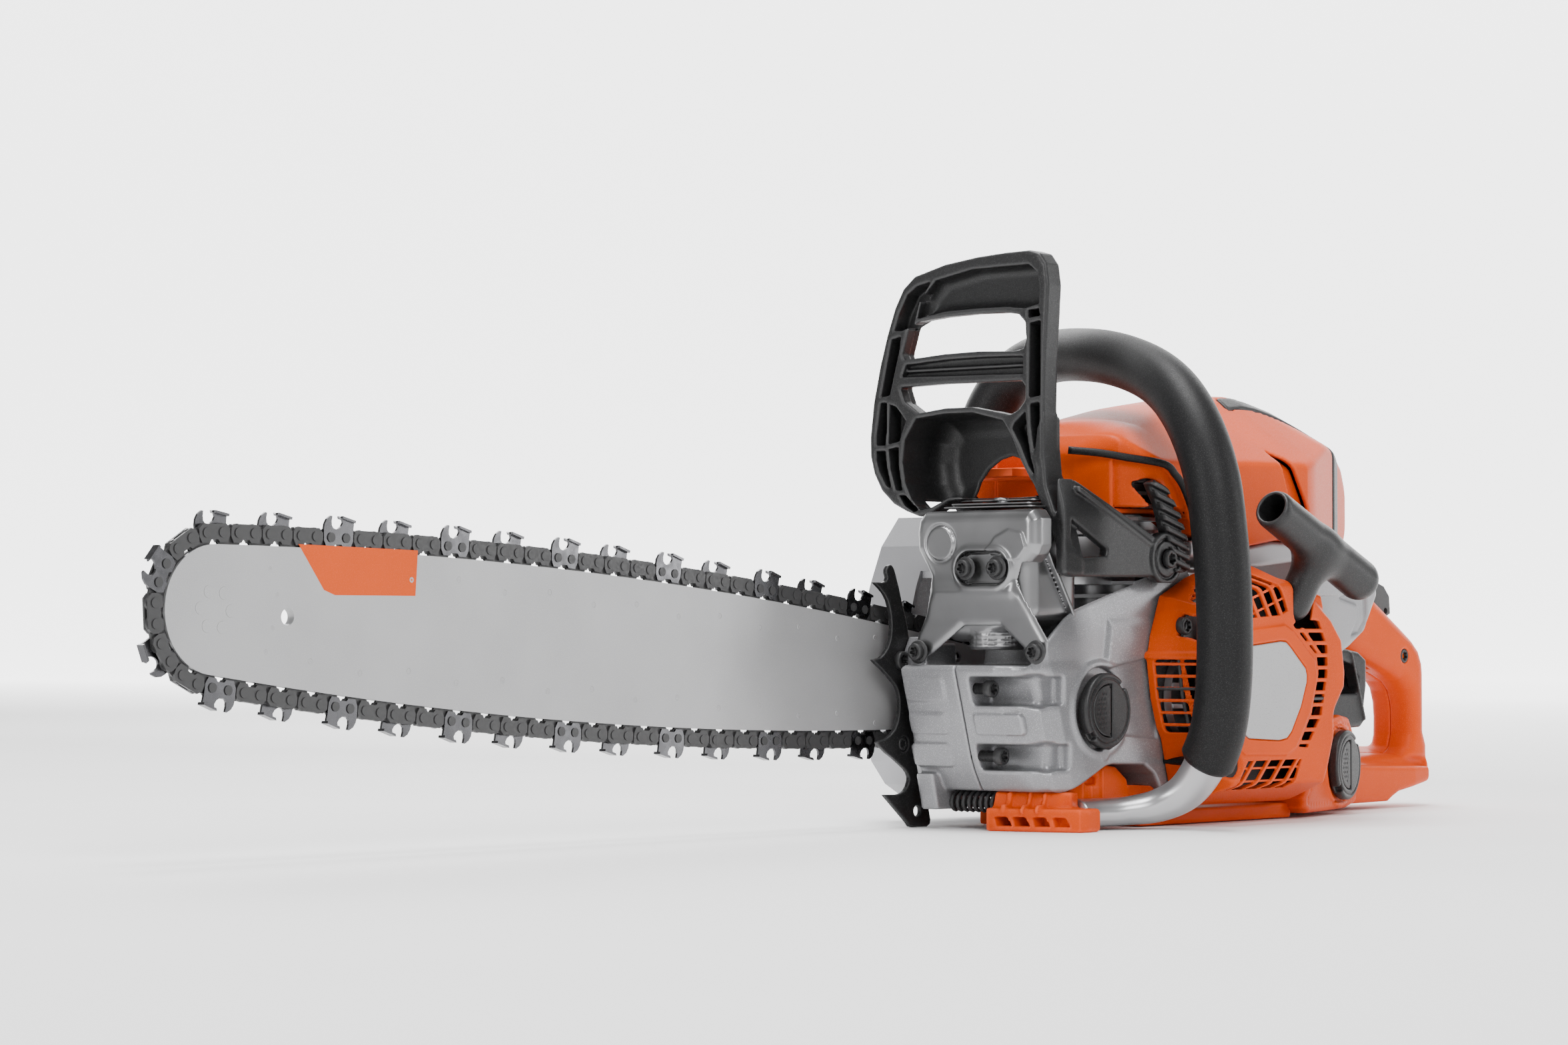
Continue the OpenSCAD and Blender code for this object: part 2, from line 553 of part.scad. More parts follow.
function starter_outline(t) = [[-14 + t, 130 - t], [-25 + t, 88], [-18 + t, 50], [-2 + t, 20],
  [0 + t, 10.5 + t], [104 - t, 10.5 + t], [112 - t, 27], [118.5 - t, 45], [118.5 - t, 57.5],
  [130 - t, 71], [126 - t, 107], [86, 139 - t],
  [63, 145 - t], [34, 143 - t]];
face_y = -143;
badge = [[24, 99], [56, 100], [77, 81], [61, 52], [21, 49], [4, 74]];

module starter_cover() color("orangered") placed() difference() {
  union() {
    side_plate(-124, -108) polygon(starter_outline(0));
    side_plate(-136, -120) polygon(starter_outline(6));
    side_plate(face_y, -130) polygon(starter_outline(10));
    side_plate(-140, -118) polygon([[62, 118], [64, 132], [98, 126], [100, 118]]);
  }
  side_plate(-121, -107) polygon(starter_outline(3));
  side_plate(-133, -115) polygon(starter_outline(9));
  side_plate(-139.5, -125) polygon(starter_outline(13));
  for (i = [0 : 5]) block([-22, -150, 47 + 9 * i], [2, -110, 52 + 9 * i]);
  for (i = [0 : 3]) block([94, -150, 50 + 11 * i], [132, -110, 55 + 11 * i]);
  for (i = [0 : 2]) block([44, -150, 105 + 11 * i], [60, -138, 110 + 11 * i]);
  for (i = [0 : 1]) block([14, -150, 22 + 11 * i], [92, -138, 27 + 11 * i]);
  side_plate(-145, -142.2) polygon(badge);
  for (p = cover_screws) {
    rod_y(p[0], p[1], 2.6, -150, -100);
    rod_y(p[0], p[1], 5.2, -150, -124.4);
  }
  translate([83, -129, 116]) rotate([0, 4, 0]) cylinder(r = 3, h = 50);
}
module badge_panel() color("lightgray") placed() side_plate(-143.6, -142.2) polygon(badge);
module starter_pulley() color("ivory") placed() difference() {
  union() {
    rod_y(crank_x, crank_z, 25, -138, -136.4);
    rod_y(crank_x, crank_z, 21, -136.4, -131.6);
    rod_y(crank_x, crank_z, 25, -131.6, -130);
    rod_y(crank_x, crank_z, 10, -130, -127.5);
  }
  rod_y(crank_x, crank_z, 5 + fit, -140, -120);
}
module recoil_spring() color("gray") placed() ring_y(crank_x, crank_z, 20, 14, -129.6, -127);
module starter_rope() color("white") placed() ring_y(crank_x, crank_z, 24.4, 21.05, -136, -132);

// The pull handle: a stem rising from the cover to a slanted hollow cross grip.
module starter_handle() color("dimgray") placed() {
  difference() {
    hull() {
      translate([42, -150, 171]) sphere(10.5, $fn = 20);
      translate([120, -150, 136]) sphere(11, $fn = 20);
    }
    translate([42, -150, 171]) rotate([0, -66, 0]) cylinder(r = 6, h = 20);
  }
  hull() {
    translate([84, -147, 150]) sphere(8, $fn = 20);
    translate([83, -134, 142.5]) sphere(7, $fn = 20);
  }
}

// ---- top cover -------------------------------------------------------------------------

function hood_side(t) = [[-46 + t, 172 - 9 * t], [-46 + t, 206 - t], [-33 + t, 219 - t], [-4, 227 - t],
  [44, 237 - t], [116, 244 - t], [132, 243 - t], [170, 235 - t], [202, 223 - t], [228 - t, 212 - t],
  [238 - t, 200], [239 - t, 178], [236 - t, 150 - 9 * t], [110, 167 - 9 * t], [-6, 171 - 9 * t]];
function hood_front(t) = [[-120 + t, 100], [-119 + t, 178], [-112 + t, 198 - t], [-98 + t, 215 - t],
  [-80, 229 - t], [-60, 241 - t], [-48, 244 - t], [-22, 244 - t], [0 - t, 236 - t], [14 - t, 216 - t],
  [18 - t, 186], [20 - t, 100]];
function hood_plan(t) = [[-28 + t, 20 - t], [-28 + t, -46 - t], [-44 + t, -52 - t], [-46 + t, -76],
  [-36 + t, -100 + t], [-14, -118 + t], [110, -120 + t], [165, -113 + t], [192 - t, -100 + t],
  [212 - t, -85 + t], [230 - t, -68 + t], [240 - t, -52], [240 - t, -10], [200 - t, 20 - t]];
// Outline across the left rear corner, in the vertical plane turned by hood_turn.
hood_turn = -48.9;
function hood_corner(t) = [[-120, 60], [-120, 260], [60, 260], [90, 247 - t], [124, 242 - t],
  [150, 232.5 - t], [170, 221.5 - t], [191 - t, 210 - t], [199 - t, 201], [203.5 - t, 186], [204 - t, 60]];
module hood(t) intersection() {
  side_plate(-125, 25) polygon(hood_side(t));
  front_plate(-95, 215) polygon(hood_front(t));
  linear_extrude(260) polygon(hood_plan(t));
  rotate([0, 0, hood_turn]) side_plate(-300, 300) polygon(hood_corner(t));
}
module insert_zone(t) block([60 + t, -66 + t, 205], [226 - t, -42 - t, 260]);
module top_cover() color("orangered") placed() difference() {
  hood(0);
  hood(3);
  block([-17, -126, 150], [18, -108, 196]);
  insert_zone(0);
}
module cover_insert() color("dimgray") placed() intersection() {
  insert_zone(0.2);
  difference() {
    hood(0);
    hood(3);
  }
}
module duct_grille() color("dimgray") placed() for (i = [0 : 8])
  block([2 - 3 * max(0, i - 3), -116, 142 + 5.4 * i], [15 - 2.4 * max(0, i - 3), -108.6, 146.2 + 5.4 * i]);
module snap_lock() color("orangered") placed() difference() {
  union() {
    block([-58, -42, 192], [-33, 2, 196]);
    rod_y(-33, 194, 3.6, -42, 2);
  }
  rod_y(-33, 194, 1.8, -50, 10);
}
module air_filter() color("dimgray") placed() block([96, -86, 158], [174, -14, 203]);
module throttle_body() color("silver") placed() difference() {
  block([60, -84, 150], [94, -40, 190]);
  translate([50, -62, 170]) rotate([0, 90, 0]) cylinder(r = 11, h = 60);
}

// ---- hand guard ------------------------------------------------------------------------

module hand_guard() color("dimgray") placed() difference() {
  union() {
    difference() {
      front_plate(-104, -86) polygon([[-113, 140], [-113, 186], [-104, 216], [-100, 300], [-92, 308],
        [-60, 310], [-30, 303], [-10, 295], [6, 280], [15, 262], [19, 240], [17, 205], [8, 188],
        [-4, 176], [-18, 168], [-30, 176], [-36, 197], [-92, 197], [-102, 188], [-107.2, 176],
        [-107.2, 140]]);
      front_plate(-110, -70) polygon([[-84, 257], [-84, 278], [-40, 277], [-14, 272], [-8, 262], [-10, 257]]);
      front_plate(-110, -70) polygon([[-84, 226], [-84, 244], [-4, 246], [-8, 232], [-20, 224], [-70, 222]]);
      block([-106, -82, 200], [-90, 2, 218]);
    }
    side_plate(-113, -107.2) difference() {
      polygon([[-104, 138], [-104, 186], [-88, 194], [-66, 181], [-8, 158], [-2, 146], [-8, 134],
    [-88, 135]]);
      polygon([[-93, 171], [-66, 156], [-86, 150]]);
    }
    rod_y(pivot_x, pivot_z, 14, -113, -107.2);
    side_plate(-9, -2) polygon([[-90, 198], [-86, 210], [-8, 156], [-4, 140], [-22, 138]]);
  }
  rod_y(pivot_x, pivot_z, 3.05, -120, -90);
  rod_y(pivot_x, pivot_z, 5 + fit, -12, 2);
}

// ---- handles and tank ------------------------------------------------------------------

// Middle line of the front handle's tube; the grip sleeve covers the stations in between.
handle_route = [[34, 42, 150], [32, 45, 180], [30, 45, 206], [30, 45, 228], [34, 30, 252],
  [30, 0, 263], [9, -50, 261], [-5, -90, 252], [-20, -122, 238], [-32, -146, 217], [-38, -161, 190],
  [-38, -166, 160], [-37, -168, 130], [-36, -168, 100], [-36, -167, 76], [-34, -162, 54],
  [-31, -152, 36], [-32, -140, 21], [-38, -126, 13], [-50, -113, 10], [-64, -104, 9.4],
  [-78, -99, 9.4]];
handle_steps = 3;
grip_first = 2 * handle_steps;
grip_last = 16 * handle_steps;
handle_curve = curve(handle_route, handle_steps);
grip_curve = [for (i = [grip_first : grip_last]) handle_curve[i]];

across = [1, 0, 0];

// The tube is pressed flatter where it runs into the front mount.
tube_squash = [for (i = [0 : 15]) max(0.6, 1 - 0.035 * i)];
module front_tube(r) swept(handle_curve, r, 12, across, tube_squash);
module front_handle() color("silver") placed() front_tube(tube_r);
module handle_grip() color("dimgray") placed() swept_sleeve(grip_curve, grip_r, tube_r + 0.25, 12, across);

handle_screw = [300, 91.6];
module loop_half(y0, y1) difference() {
  side_plate(y0, y1) polygon([[196, 96], [222, 127.5], [224, 133.5], [240, 139], [262, 132], [300, 111],
    [313, 103.5],
    [322, 96.5], [326.5, 88], [327.5, 80], [327.5, 46], [331, 38], [333, 29], [331, 4], [205, 2],
    [205, 31], [256, 33], [299, 30], [305, 35], [308, 44], [308, 58], [305, 68], [297, 77],
    [264.5, 87], [240, 95], [224, 104]]);
  side_plate(rear_y - 7.5, rear_y + 7.5) polygon([[252, 150], [252, 122], [296, 106], [304, 112],
    [304, 150]]);
  side_plate(rear_y - 6.5, rear_y + 6.5) polygon([[222, 80], [222, 108], [262, 98], [276, 84], [270, 76]]);
}
tank_front = 119;
tank_back = 205;
tank_lean = 13.3;
tank_left = -114;
fuel_x = 176;
fuel_y = tank_left + (fuel_x - tank_front) * tan(tank_lean);
fuel_z = 29;
module tank_unit() color("orangered") placed() difference() {
  union() {
    intersection() {
      block([tank_front, -125, 0], [tank_back, 10, 57]);
      linear_extrude(100) polygon([[tank_front, tank_left],
        [tank_back, tank_left + (tank_back - tank_front) * tan(tank_lean)], [tank_back, -22],
        [tank_front, -8]]);
    }
    block([-62, -84, 0], [tank_front + 1, -20, 9]);
    block([-24, -104, 0], [tank_front + 1, -80, 9]);
    linear_extrude(12) polygon([[-113, -67], [-99, -120], [-72, -120], [-56, -100], [-60, -67]]);
    linear_extrude(20) polygon([[-108, -67.2], [-98, -108], [-74, -108], [-60, -90], [-60, -67.2]]);
    translate([0, 0, 2]) linear_extrude(14) polygon([[tank_back - 1, -84], [300, -72], [322, -66],
      [336, rear_y], [322, -34], [300, -28], [tank_back - 1, -24]]);
    loop_half(rear_y - rear_half, rear_y - 0.1);
  }
  rod_y(handle_screw[0], handle_screw[1], 2.6, -100, rear_y);
  rod_y(handle_screw[0], handle_screw[1], 4.8, -100, rear_y - rear_half + 4.1);
  block([-82.2, -130, 1.5], [-40, -86, 30]);
  fuel_frame() rod_y(0, 0, 16.1, -1, 9.6);
}
module rear_handle_cover() color("orangered") placed() difference() {
  loop_half(rear_y + 0.1, rear_y + rear_half);
  rod_y(handle_screw[0], handle_screw[1], 2.6, rear_y - 5, rear_y + 12);
  block([tank_back - 2, -60, 0], [350, 0, 16.1]);
  block([190, -60, 0], [tank_back + 0.1, 0, 57.1]);
}
module rear_housing() color("lightgray") placed() difference() {
  union() {
    side_plate(-108.4, -104) polygon([[18, 147], [18, 163], [110, 163], [160, 156], [160, 128], [132, 128],
      [118, 147]]);
    side_plate(-100, -22) polygon([[132, 112], [132, 146], [204, 150], [222, 134], [218, 128.2],
      [194, 99], [176, 92], [150, 92]]);
    block([140, -105, 134], [158, -99, 146]);
  }
  side_plate(-97, -25) polygon([[135, 112], [135, 143], [202, 147], [215, 134], [191, 102], [175, 95],
    [152, 95]]);
}
module throttle_trigger() color("dimgray") placed() difference() {
  side_plate(rear_y - 6, rear_y + 6) polygon([[232, 97], [261, 85.5], [268, 81], [262, 70], [252, 74],
    [240, 80], [228, 88]]);
  rod_y(236, 90, 2, -80, 0);
}
module throttle_lockout() color("dimgray") placed() difference() {
  side_plate(rear_y - 7, rear_y + 7) polygon([[254.5, 132], [262, 142], [274, 139], [291, 134],
    [297, 128], [298, 117.5], [290, 114.5], [254.5, 129]]);
  rod_y(293, 119, 2, -80, 0);
}
module stop_lever() color("dimgray") placed() difference() {
  side_plate(-92, -78) polygon([[176, 60], [176, 84], [192, 88], [210, 86], [224, 62], [214, 60]]);
  rod_y(186, 72, 3, -100, -60);
}

// ---- caps and springs ------------------------------------------------------------------

// Tank cap facing -y; a half-moon flap on a round hinge bar lies in its recess.
module cap() difference() {
  union() {
    rod_y(0, 0, 20, -6, 0);
    rod_y(0, 0, 16, 0, 9);
  }
  flap_half(14.2, -7, -2.3);
  translate([1, -4.2, -12.1]) cylinder(r = 1.7 + fit, h = 24.2);
  block([-0.7 - fit, -7, -14.2], [2.7 + fit, -4.2, 14.2]);
}
module flap_half(r, y0, y1) intersection() {
  rod_y(0, 0, r, y0, y1);
  block([-20, -8, -20], [1, 0, 20]);
}
module cap_flap() {
  flap_half(13.8, -5.9, -2.5);
  translate([1, -4.2, -12]) cylinder(r = 1.7, h = 24);
}
module oil_place() placed() translate([-65, -107.2, 64]) children();
module fuel_frame() translate([fuel_x, fuel_y, fuel_z]) rotate([0, 0, tank_lean]) children();
module fuel_place() placed() fuel_frame() translate([0, -0.1, 0]) children();
module oil_cap() color("dimgray") oil_place() cap();
module oil_cap_flap() color("dimgray") oil_place() cap_flap();
module fuel_cap() color("dimgray") fuel_place() cap();
module fuel_cap_flap() color("dimgray") fuel_place() cap_flap();
module av_spring() color("gray") placed() helix_y(-98, 15, 5, 1.2, -65, -33.5, 8);

bar_left_plate();
bar_core();
bar_right_plate();
nose_sprocket();
nose_bearing();
nose_rivets();
drive_links();
tie_straps();
left_cutters();
right_cutters();
chain_rivets();
bumper_spikes();
crankcase_right();
crankcase_left();
torx_screws();
cylinder_block();  // cylinder
spark_plug();
piston();
connecting_rod();
crankshaft();
crank_bearings();
flywheel();
ignition_module();
clutch_hub();
clutch_drum();
oil_pump();
bar_studs();
bar_nuts();
clutch_cover();
brake_band();
chain_catcher();
muffler_body();
muffler_shield();
deflector_plate();
starter_cover();
badge_panel();
starter_pulley();
recoil_spring();
starter_rope();
starter_handle();
top_cover();
cover_insert();
snap_lock();
air_filter();
throttle_body();
duct_grille();
hand_guard();
front_handle();
handle_grip();
tank_unit();
rear_handle_cover();
rear_housing();
throttle_trigger();
throttle_lockout();
stop_lever();
oil_cap();
oil_cap_flap();
fuel_cap();
fuel_cap_flap();
av_spring();
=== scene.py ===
"""A petrol chainsaw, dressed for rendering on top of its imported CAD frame.

Shapes are written in millimetres in the saw's working frame: x runs back along the saw from the
bar's nose, y = 0 is the bar's middle plane with the starter on the -y side, z = 0 is the ground.
Moulded and cast pieces are signed distance fields, which are joined and cut with rounded seams
and then turned into meshes; bars, tubes and turned parts are swept or lofted.
"""

import json
import math

import bpy
import numpy as np
from mathutils import Matrix, Vector


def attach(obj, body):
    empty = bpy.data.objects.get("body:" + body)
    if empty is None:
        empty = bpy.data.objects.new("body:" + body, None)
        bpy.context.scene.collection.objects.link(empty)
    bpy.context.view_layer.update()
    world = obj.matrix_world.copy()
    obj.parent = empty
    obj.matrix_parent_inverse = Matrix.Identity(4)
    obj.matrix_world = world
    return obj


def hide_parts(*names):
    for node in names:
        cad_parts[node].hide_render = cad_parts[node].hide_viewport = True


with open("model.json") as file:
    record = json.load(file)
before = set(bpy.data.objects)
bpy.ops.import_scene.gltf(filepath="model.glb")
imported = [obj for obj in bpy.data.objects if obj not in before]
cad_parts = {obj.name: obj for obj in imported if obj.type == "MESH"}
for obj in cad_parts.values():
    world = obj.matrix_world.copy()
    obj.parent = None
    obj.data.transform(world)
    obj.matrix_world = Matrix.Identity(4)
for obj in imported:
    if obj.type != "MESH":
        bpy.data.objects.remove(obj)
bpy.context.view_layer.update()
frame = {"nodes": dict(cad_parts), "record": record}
record = frame["record"]

# ---- frame ------------------------------------------------------------------------------

REST_AT = np.array([-84.0, -95.0, 0.0])
mounts = {m["name"]: m for m in record["mounts"]}
shift = 1000 * np.array(mounts["ground_rest"]["pos_m"]) - REST_AT


def metres(points):
    """Working-frame millimetres to metres in the row frame."""
    return (np.asarray(points, float) + shift) / 1000


# ---- materials --------------------------------------------------------------------------


def node_tree(name):
    """A new material with its Principled shader and the object coordinates of its mesh."""
    made = bpy.data.materials.new(name)
    made.use_nodes = True
    tree = made.node_tree
    shader = tree.nodes["Principled BSDF"]
    coords = tree.nodes.new("ShaderNodeTexCoord").outputs["Object"]
    return made, tree, shader, coords


def noise(tree, coords, scale, detail=2.0, stretch=None):
    """Output of a noise texture whose scale is in features per metre."""
    if stretch:
        mapping = tree.nodes.new("ShaderNodeMapping")
        mapping.inputs["Scale"].default_value = stretch
        tree.links.new(coords, mapping.inputs["Vector"])
        coords = mapping.outputs["Vector"]
    made = tree.nodes.new("ShaderNodeTexNoise")
    made.inputs["Scale"].default_value = scale
    made.inputs["Detail"].default_value = detail
    tree.links.new(coords, made.inputs["Vector"])
    return made.outputs["Fac"]


def ramp(tree, value, low, high, start=0.35, end=0.65):
    """Colours from low to high as value runs from start to end."""
    made = tree.nodes.new("ShaderNodeValToRGB")
    made.color_ramp.elements[0].position = start
    made.color_ramp.elements[1].position = end
    made.color_ramp.elements[0].color = (*low, 1)
    made.color_ramp.elements[1].color = (*high, 1)
    tree.links.new(value, made.inputs["Fac"])
    return made.outputs["Color"]


def bump(tree, shader, height, depth_mm, before=None):
    """Bump of the given depth, added to an earlier bump if there is one."""
    made = tree.nodes.new("ShaderNodeBump")
    made.inputs["Strength"].default_value = 1.0
    made.inputs["Distance"].default_value = depth_mm / 1000
    tree.links.new(height, made.inputs["Height"])
    if before:
        tree.links.new(before, made.inputs["Normal"])
    tree.links.new(made.outputs["Normal"], shader.inputs["Normal"])
    return made.outputs["Normal"]


def mixed(tree, a, b, share):
    """Colour between a and b; share is a number or an output."""
    made = tree.nodes.new("ShaderNodeMix")
    made.data_type = "RGBA"
    for value, at in ((share, 0), (a, 6), (b, 7)):
        if isinstance(value, bpy.types.NodeSocket):
            tree.links.new(value, made.inputs[at])
        else:
            made.inputs[at].default_value = value if at == 0 else (*value, 1)
    return made.outputs[2]


def finish(
    name,
    colour,
    rough,
    metal=0.0,
    grain=900.0,
    grain_mm=0.05,
    flecks=0.0,
    vary=0.12,
    brushed=None,
    coat=0.0,
    wear_and_highlight=0.0,
    shine=0.5,
    uneven=0.07,
):
    """A surface finish: slow colour variation, fine grain, light flecks, and sharp edges lightened
    partly as wear and partly as a painted highlight.
    """
    made, tree, shader, coords = node_tree(name)
    base = np.array(colour)
    colour_out = ramp(
        tree, noise(tree, coords, 22.0, 3.0), base * (1 - vary), np.minimum(base * (1 + vary), 1)
    )
    if flecks:
        spots = ramp(tree, noise(tree, coords, grain * 1.6, 1.0), (0, 0, 0), (1, 1, 1), 0.56, 0.7)
        colour_out = mixed(tree, colour_out, np.minimum(base * (1 + flecks) + 0.02, 1), spots)
    # sharp edges lightened from their pointiness: partly wear, partly a painted highlight along the
    # edges
    if wear_and_highlight:
        edges = tree.nodes.new("ShaderNodeNewGeometry").outputs["Pointiness"]
        rim = ramp(tree, edges, (0, 0, 0), (1, 1, 1), 0.51, 0.58)
        colour_out = mixed(tree, colour_out, np.minimum(base * (1 + wear_and_highlight) + 0.03, 1), rim)
    tree.links.new(colour_out, shader.inputs["Base Color"])
    shader.inputs["Metallic"].default_value = metal
    shader.inputs["Coat Weight"].default_value = coat
    shader.inputs["Specular IOR Level"].default_value = shine
    shader.inputs["Coat Roughness"].default_value = 0.18
    fine = noise(tree, coords, grain, 2.0, brushed)
    rough_out = ramp(tree, fine, [max(rough - uneven, 0.03)] * 3, [min(rough + uneven, 1)] * 3)
    tree.links.new(rough_out, shader.inputs["Roughness"])
    if grain_mm:
        bump(tree, shader, fine, grain_mm)
    return made


# the edge setting lightens sharp edges, partly as wear and partly as a painted highlight
FINISHES = {
    "orange_plastic": dict(colour=(0.6, 0.06, 0.0005), rough=0.42, grain=1500, grain_mm=0.03,
        flecks=0.1, vary=0.05, wear_and_highlight=0.3, shine=0.1),
    "dark_plastic": dict(colour=(0.009, 0.009, 0.0095), rough=0.42, grain=1400, grain_mm=0.04,
        flecks=0.4, vary=0.12, wear_and_highlight=0.9, shine=0.4),
    "grip_rubber": dict(colour=(0.007, 0.007, 0.0075), rough=0.5, grain=1700, grain_mm=0.035,
        flecks=0.3, vary=0.08, shine=0.2),
    "cast_metal": dict(colour=(0.25, 0.25, 0.26), rough=0.38, metal=0.5, grain=1300, grain_mm=0.06,
        flecks=0.5, vary=0.06, wear_and_highlight=0.4),
    "pale_plastic": dict(colour=(0.3, 0.3, 0.31), rough=0.4, metal=0.25, grain=1500, grain_mm=0.03,
        flecks=0.15, vary=0.04),
    "bar_steel": dict(colour=(0.37, 0.37, 0.375), rough=0.42, metal=0.5, grain=1500, grain_mm=0.002,
        vary=0.04, flecks=0.12, uneven=0.03),
    "chain_steel": dict(colour=(0.016, 0.016, 0.0165), rough=0.36, metal=0.4, grain=700,
        grain_mm=0.01, vary=0.25, wear_and_highlight=0.5, shine=0.3),
    "cutter_chrome": dict(colour=(0.1, 0.1, 0.105), rough=0.26, metal=1.0, grain=200, grain_mm=0.0,
        vary=0.2, uneven=0.05),
    "dark_steel": dict(colour=(0.009, 0.009, 0.0095), rough=0.42, metal=0.2, grain=900,
        grain_mm=0.01, flecks=0.3, wear_and_highlight=0.5, shine=0.35),
    "bright_steel": dict(colour=(0.34, 0.34, 0.35), rough=0.28, metal=1.0, grain=90, grain_mm=0.0,
        vary=0.06, uneven=0.04),
    "light_alloy": dict(colour=(0.5, 0.5, 0.51), rough=0.34, metal=0.9, grain=80, grain_mm=0.0,
        vary=0.04, uneven=0.03),
    "muffler_steel": dict(colour=(0.26, 0.26, 0.265), rough=0.32, metal=0.95, grain=60,
        grain_mm=0.0, vary=0.06, uneven=0.03),
    "badge_silver": dict(colour=(0.36, 0.36, 0.365), rough=0.34, metal=0.35, grain=1800,
        grain_mm=0.01, vary=0.02),
    "bar_print": dict(colour=(0.62, 0.07, 0.0005), rough=0.5, grain=1500, grain_mm=0.004,
        flecks=0.1, vary=0.03, shine=0.2),
    "ceramic_white": dict(colour=(0.78, 0.78, 0.76), rough=0.15, grain=300, grain_mm=0.005,
        coat=0.6),
    "cord_white": dict(colour=(0.7, 0.7, 0.66), rough=0.8, grain=900, grain_mm=0.3,
        brushed=(1, 3, 1)),
    "filter_felt": dict(colour=(0.06, 0.06, 0.06), rough=0.95, grain=1600, grain_mm=0.3),
}
MATERIALS = {name: finish(name, **look) for name, look in FINISHES.items()}
node_slot = {s["node"]: s["material_slot"] for s in record["subparts"]}
for node, shown in frame["nodes"].items():
    shown.data.materials.clear()
    shown.data.materials.append(MATERIALS[node_slot[node]])

# ---- meshes -----------------------------------------------------------------------------


def add(name, verts, faces, material, body="saw", replaces=(), smooth=True):
    """Adds a mesh given in working-frame millimetres, riding on a CAD body."""
    mesh = bpy.data.meshes.new(name)
    mesh.from_pydata(metres(verts).tolist(), [], faces)
    mesh.validate()
    mesh.update()
    mesh.polygons.foreach_set("use_smooth", [smooth] * len(mesh.polygons))
    return dress(name, mesh, material, body, replaces)


def dress(name, mesh, material, body, replaces):
    """Puts a mesh in the scene with its material, the body it rides on and what it replaces."""
    made = bpy.data.objects.new(name, mesh)
    bpy.context.scene.collection.objects.link(made)
    mesh.materials.append(MATERIALS[material])
    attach(made, body)
    if replaces:
        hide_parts(*replaces)
    return made


def soften(shown, width_mm, segments=2, angle=35):
    """Rounds the sharp edges of a mesh without touching its data."""
    edge = shown.modifiers.new("edges", "BEVEL")
    edge.width = width_mm / 1000
    edge.segments = segments
    edge.limit_method = "ANGLE"
    edge.angle_limit = math.radians(angle)
    edge.harden_normals = True
    return shown


def loft(loops, closed_ends=(True, True)):
    """Vertices and faces of a skin through loops that all have the same number of points."""
    n = len(loops[0])
    verts = [p for loop in loops for p in loop]
    faces = [
        (a * n + i, a * n + (i + 1) % n, (a + 1) * n + (i + 1) % n, (a + 1) * n + i)
        for a in range(len(loops) - 1)
        for i in range(n)
    ]
    if closed_ends[0]:
        faces.append(tuple(range(n - 1, -1, -1)))
    if closed_ends[1]:
        faces.append(tuple(range((len(loops) - 1) * n, len(loops) * n)))
    return verts, faces


def smooth_path(points, steps):
    """Catmull-Rom curve through the points, with steps stations between neighbours."""
    p = np.asarray(points, float)
    p = np.vstack([2 * p[0] - p[1], p, 2 * p[-1] - p[-2]])
    out = []
    for a, b, c, d in zip(p, p[1:], p[2:], p[3:]):
        for t in np.arange(steps) / steps:
            bend, twist = 2 * a - 5 * b + 4 * c - d, 3 * b - a - 3 * c + d
            out.append(0.5 * (2 * b + (c - a) * t + bend * t * t + twist * t**3))
    out.append(p[-2])
    return np.array(out)


def tube(path, radius, sides=40, across=(1, 0, 0), flatten=None):
    """Loops round a path. radius is a number or one per station; flatten scales one across axis."""
    path = np.asarray(path, float)
    radius = np.broadcast_to(radius, len(path))
    squeeze = np.ones(len(path)) if flatten is None else np.asarray(flatten)
    ahead = np.gradient(path, axis=0)
    loops = []
    for at, way, r, s in zip(path, ahead, radius, squeeze):
        way = way / np.linalg.norm(way)
        a = np.cross(way, across)
        a /= np.linalg.norm(a)
        b = np.cross(way, a)
        turn = np.arange(sides) * 2 * math.pi / sides
        loops.append(at + r * (s * np.outer(np.cos(turn), a) + np.outer(np.sin(turn), b)))
    return loops


# ---- signed distance fields ---------------------------------------------------------------


class Grid:
    """Points in a box, step apart, on which distances are worked out."""

    def __init__(self, lo, hi, step):
        self.step = step * 1.0
        self.lo = np.array(lo, float)
        count = np.ceil((np.array(hi) - self.lo) / self.step).astype(int) + 1
        axes = [(l + self.step * np.arange(n)).astype(np.float32) for l, n in zip(self.lo, count)]
        self.shape = tuple(count)
        self.x = axes[0][:, None, None]
        self.y = axes[1][None, :, None]
        self.z = axes[2][None, None, :]

    def side(self, points):
        """Distance to an outline as seen from the saw's left side."""
        return outline(self.x, self.z, points)

    def front(self, points):
        """Distance to an outline as seen from the front."""
        return outline(self.y, self.z, points)

    def plan(self, points):
        """Distance to an outline as seen from above."""
        return outline(self.x, self.y, points)

    def plate(self, points, lo, hi, r=0.0):
        """Solid with a side outline, from y = lo to y = hi."""
        return slab(self.side(points), self.y, lo, hi, r)

    def rod(self, at, radius, lo, hi, r=0.0):
        """Round bar along y through a place in the side view."""
        return slab(disc(self.x, self.z, at, radius), self.y, lo, hi, r)


def outline(u, v, points):
    """Distance from (u, v) to a closed outline, negative inside it."""
    points = np.asarray(points, np.float32)
    nearest, inside = None, np.zeros(np.broadcast(u, v).shape, bool)
    for (ax, ay), (bx, by) in zip(points, np.roll(points, -1, axis=0)):
        ex, ey = bx - ax, by - ay
        t = np.clip(((u - ax) * ex + (v - ay) * ey) / (ex * ex + ey * ey), 0, 1)
        d = (u - ax - t * ex) ** 2 + (v - ay - t * ey) ** 2
        nearest = d if nearest is None else np.minimum(nearest, d)
        if ay != by:
            inside ^= ((ay > v) != (by > v)) & (u < ax + (v - ay) * ex / ey)
    return np.where(inside, -1, 1).astype(np.float32) * np.sqrt(nearest)


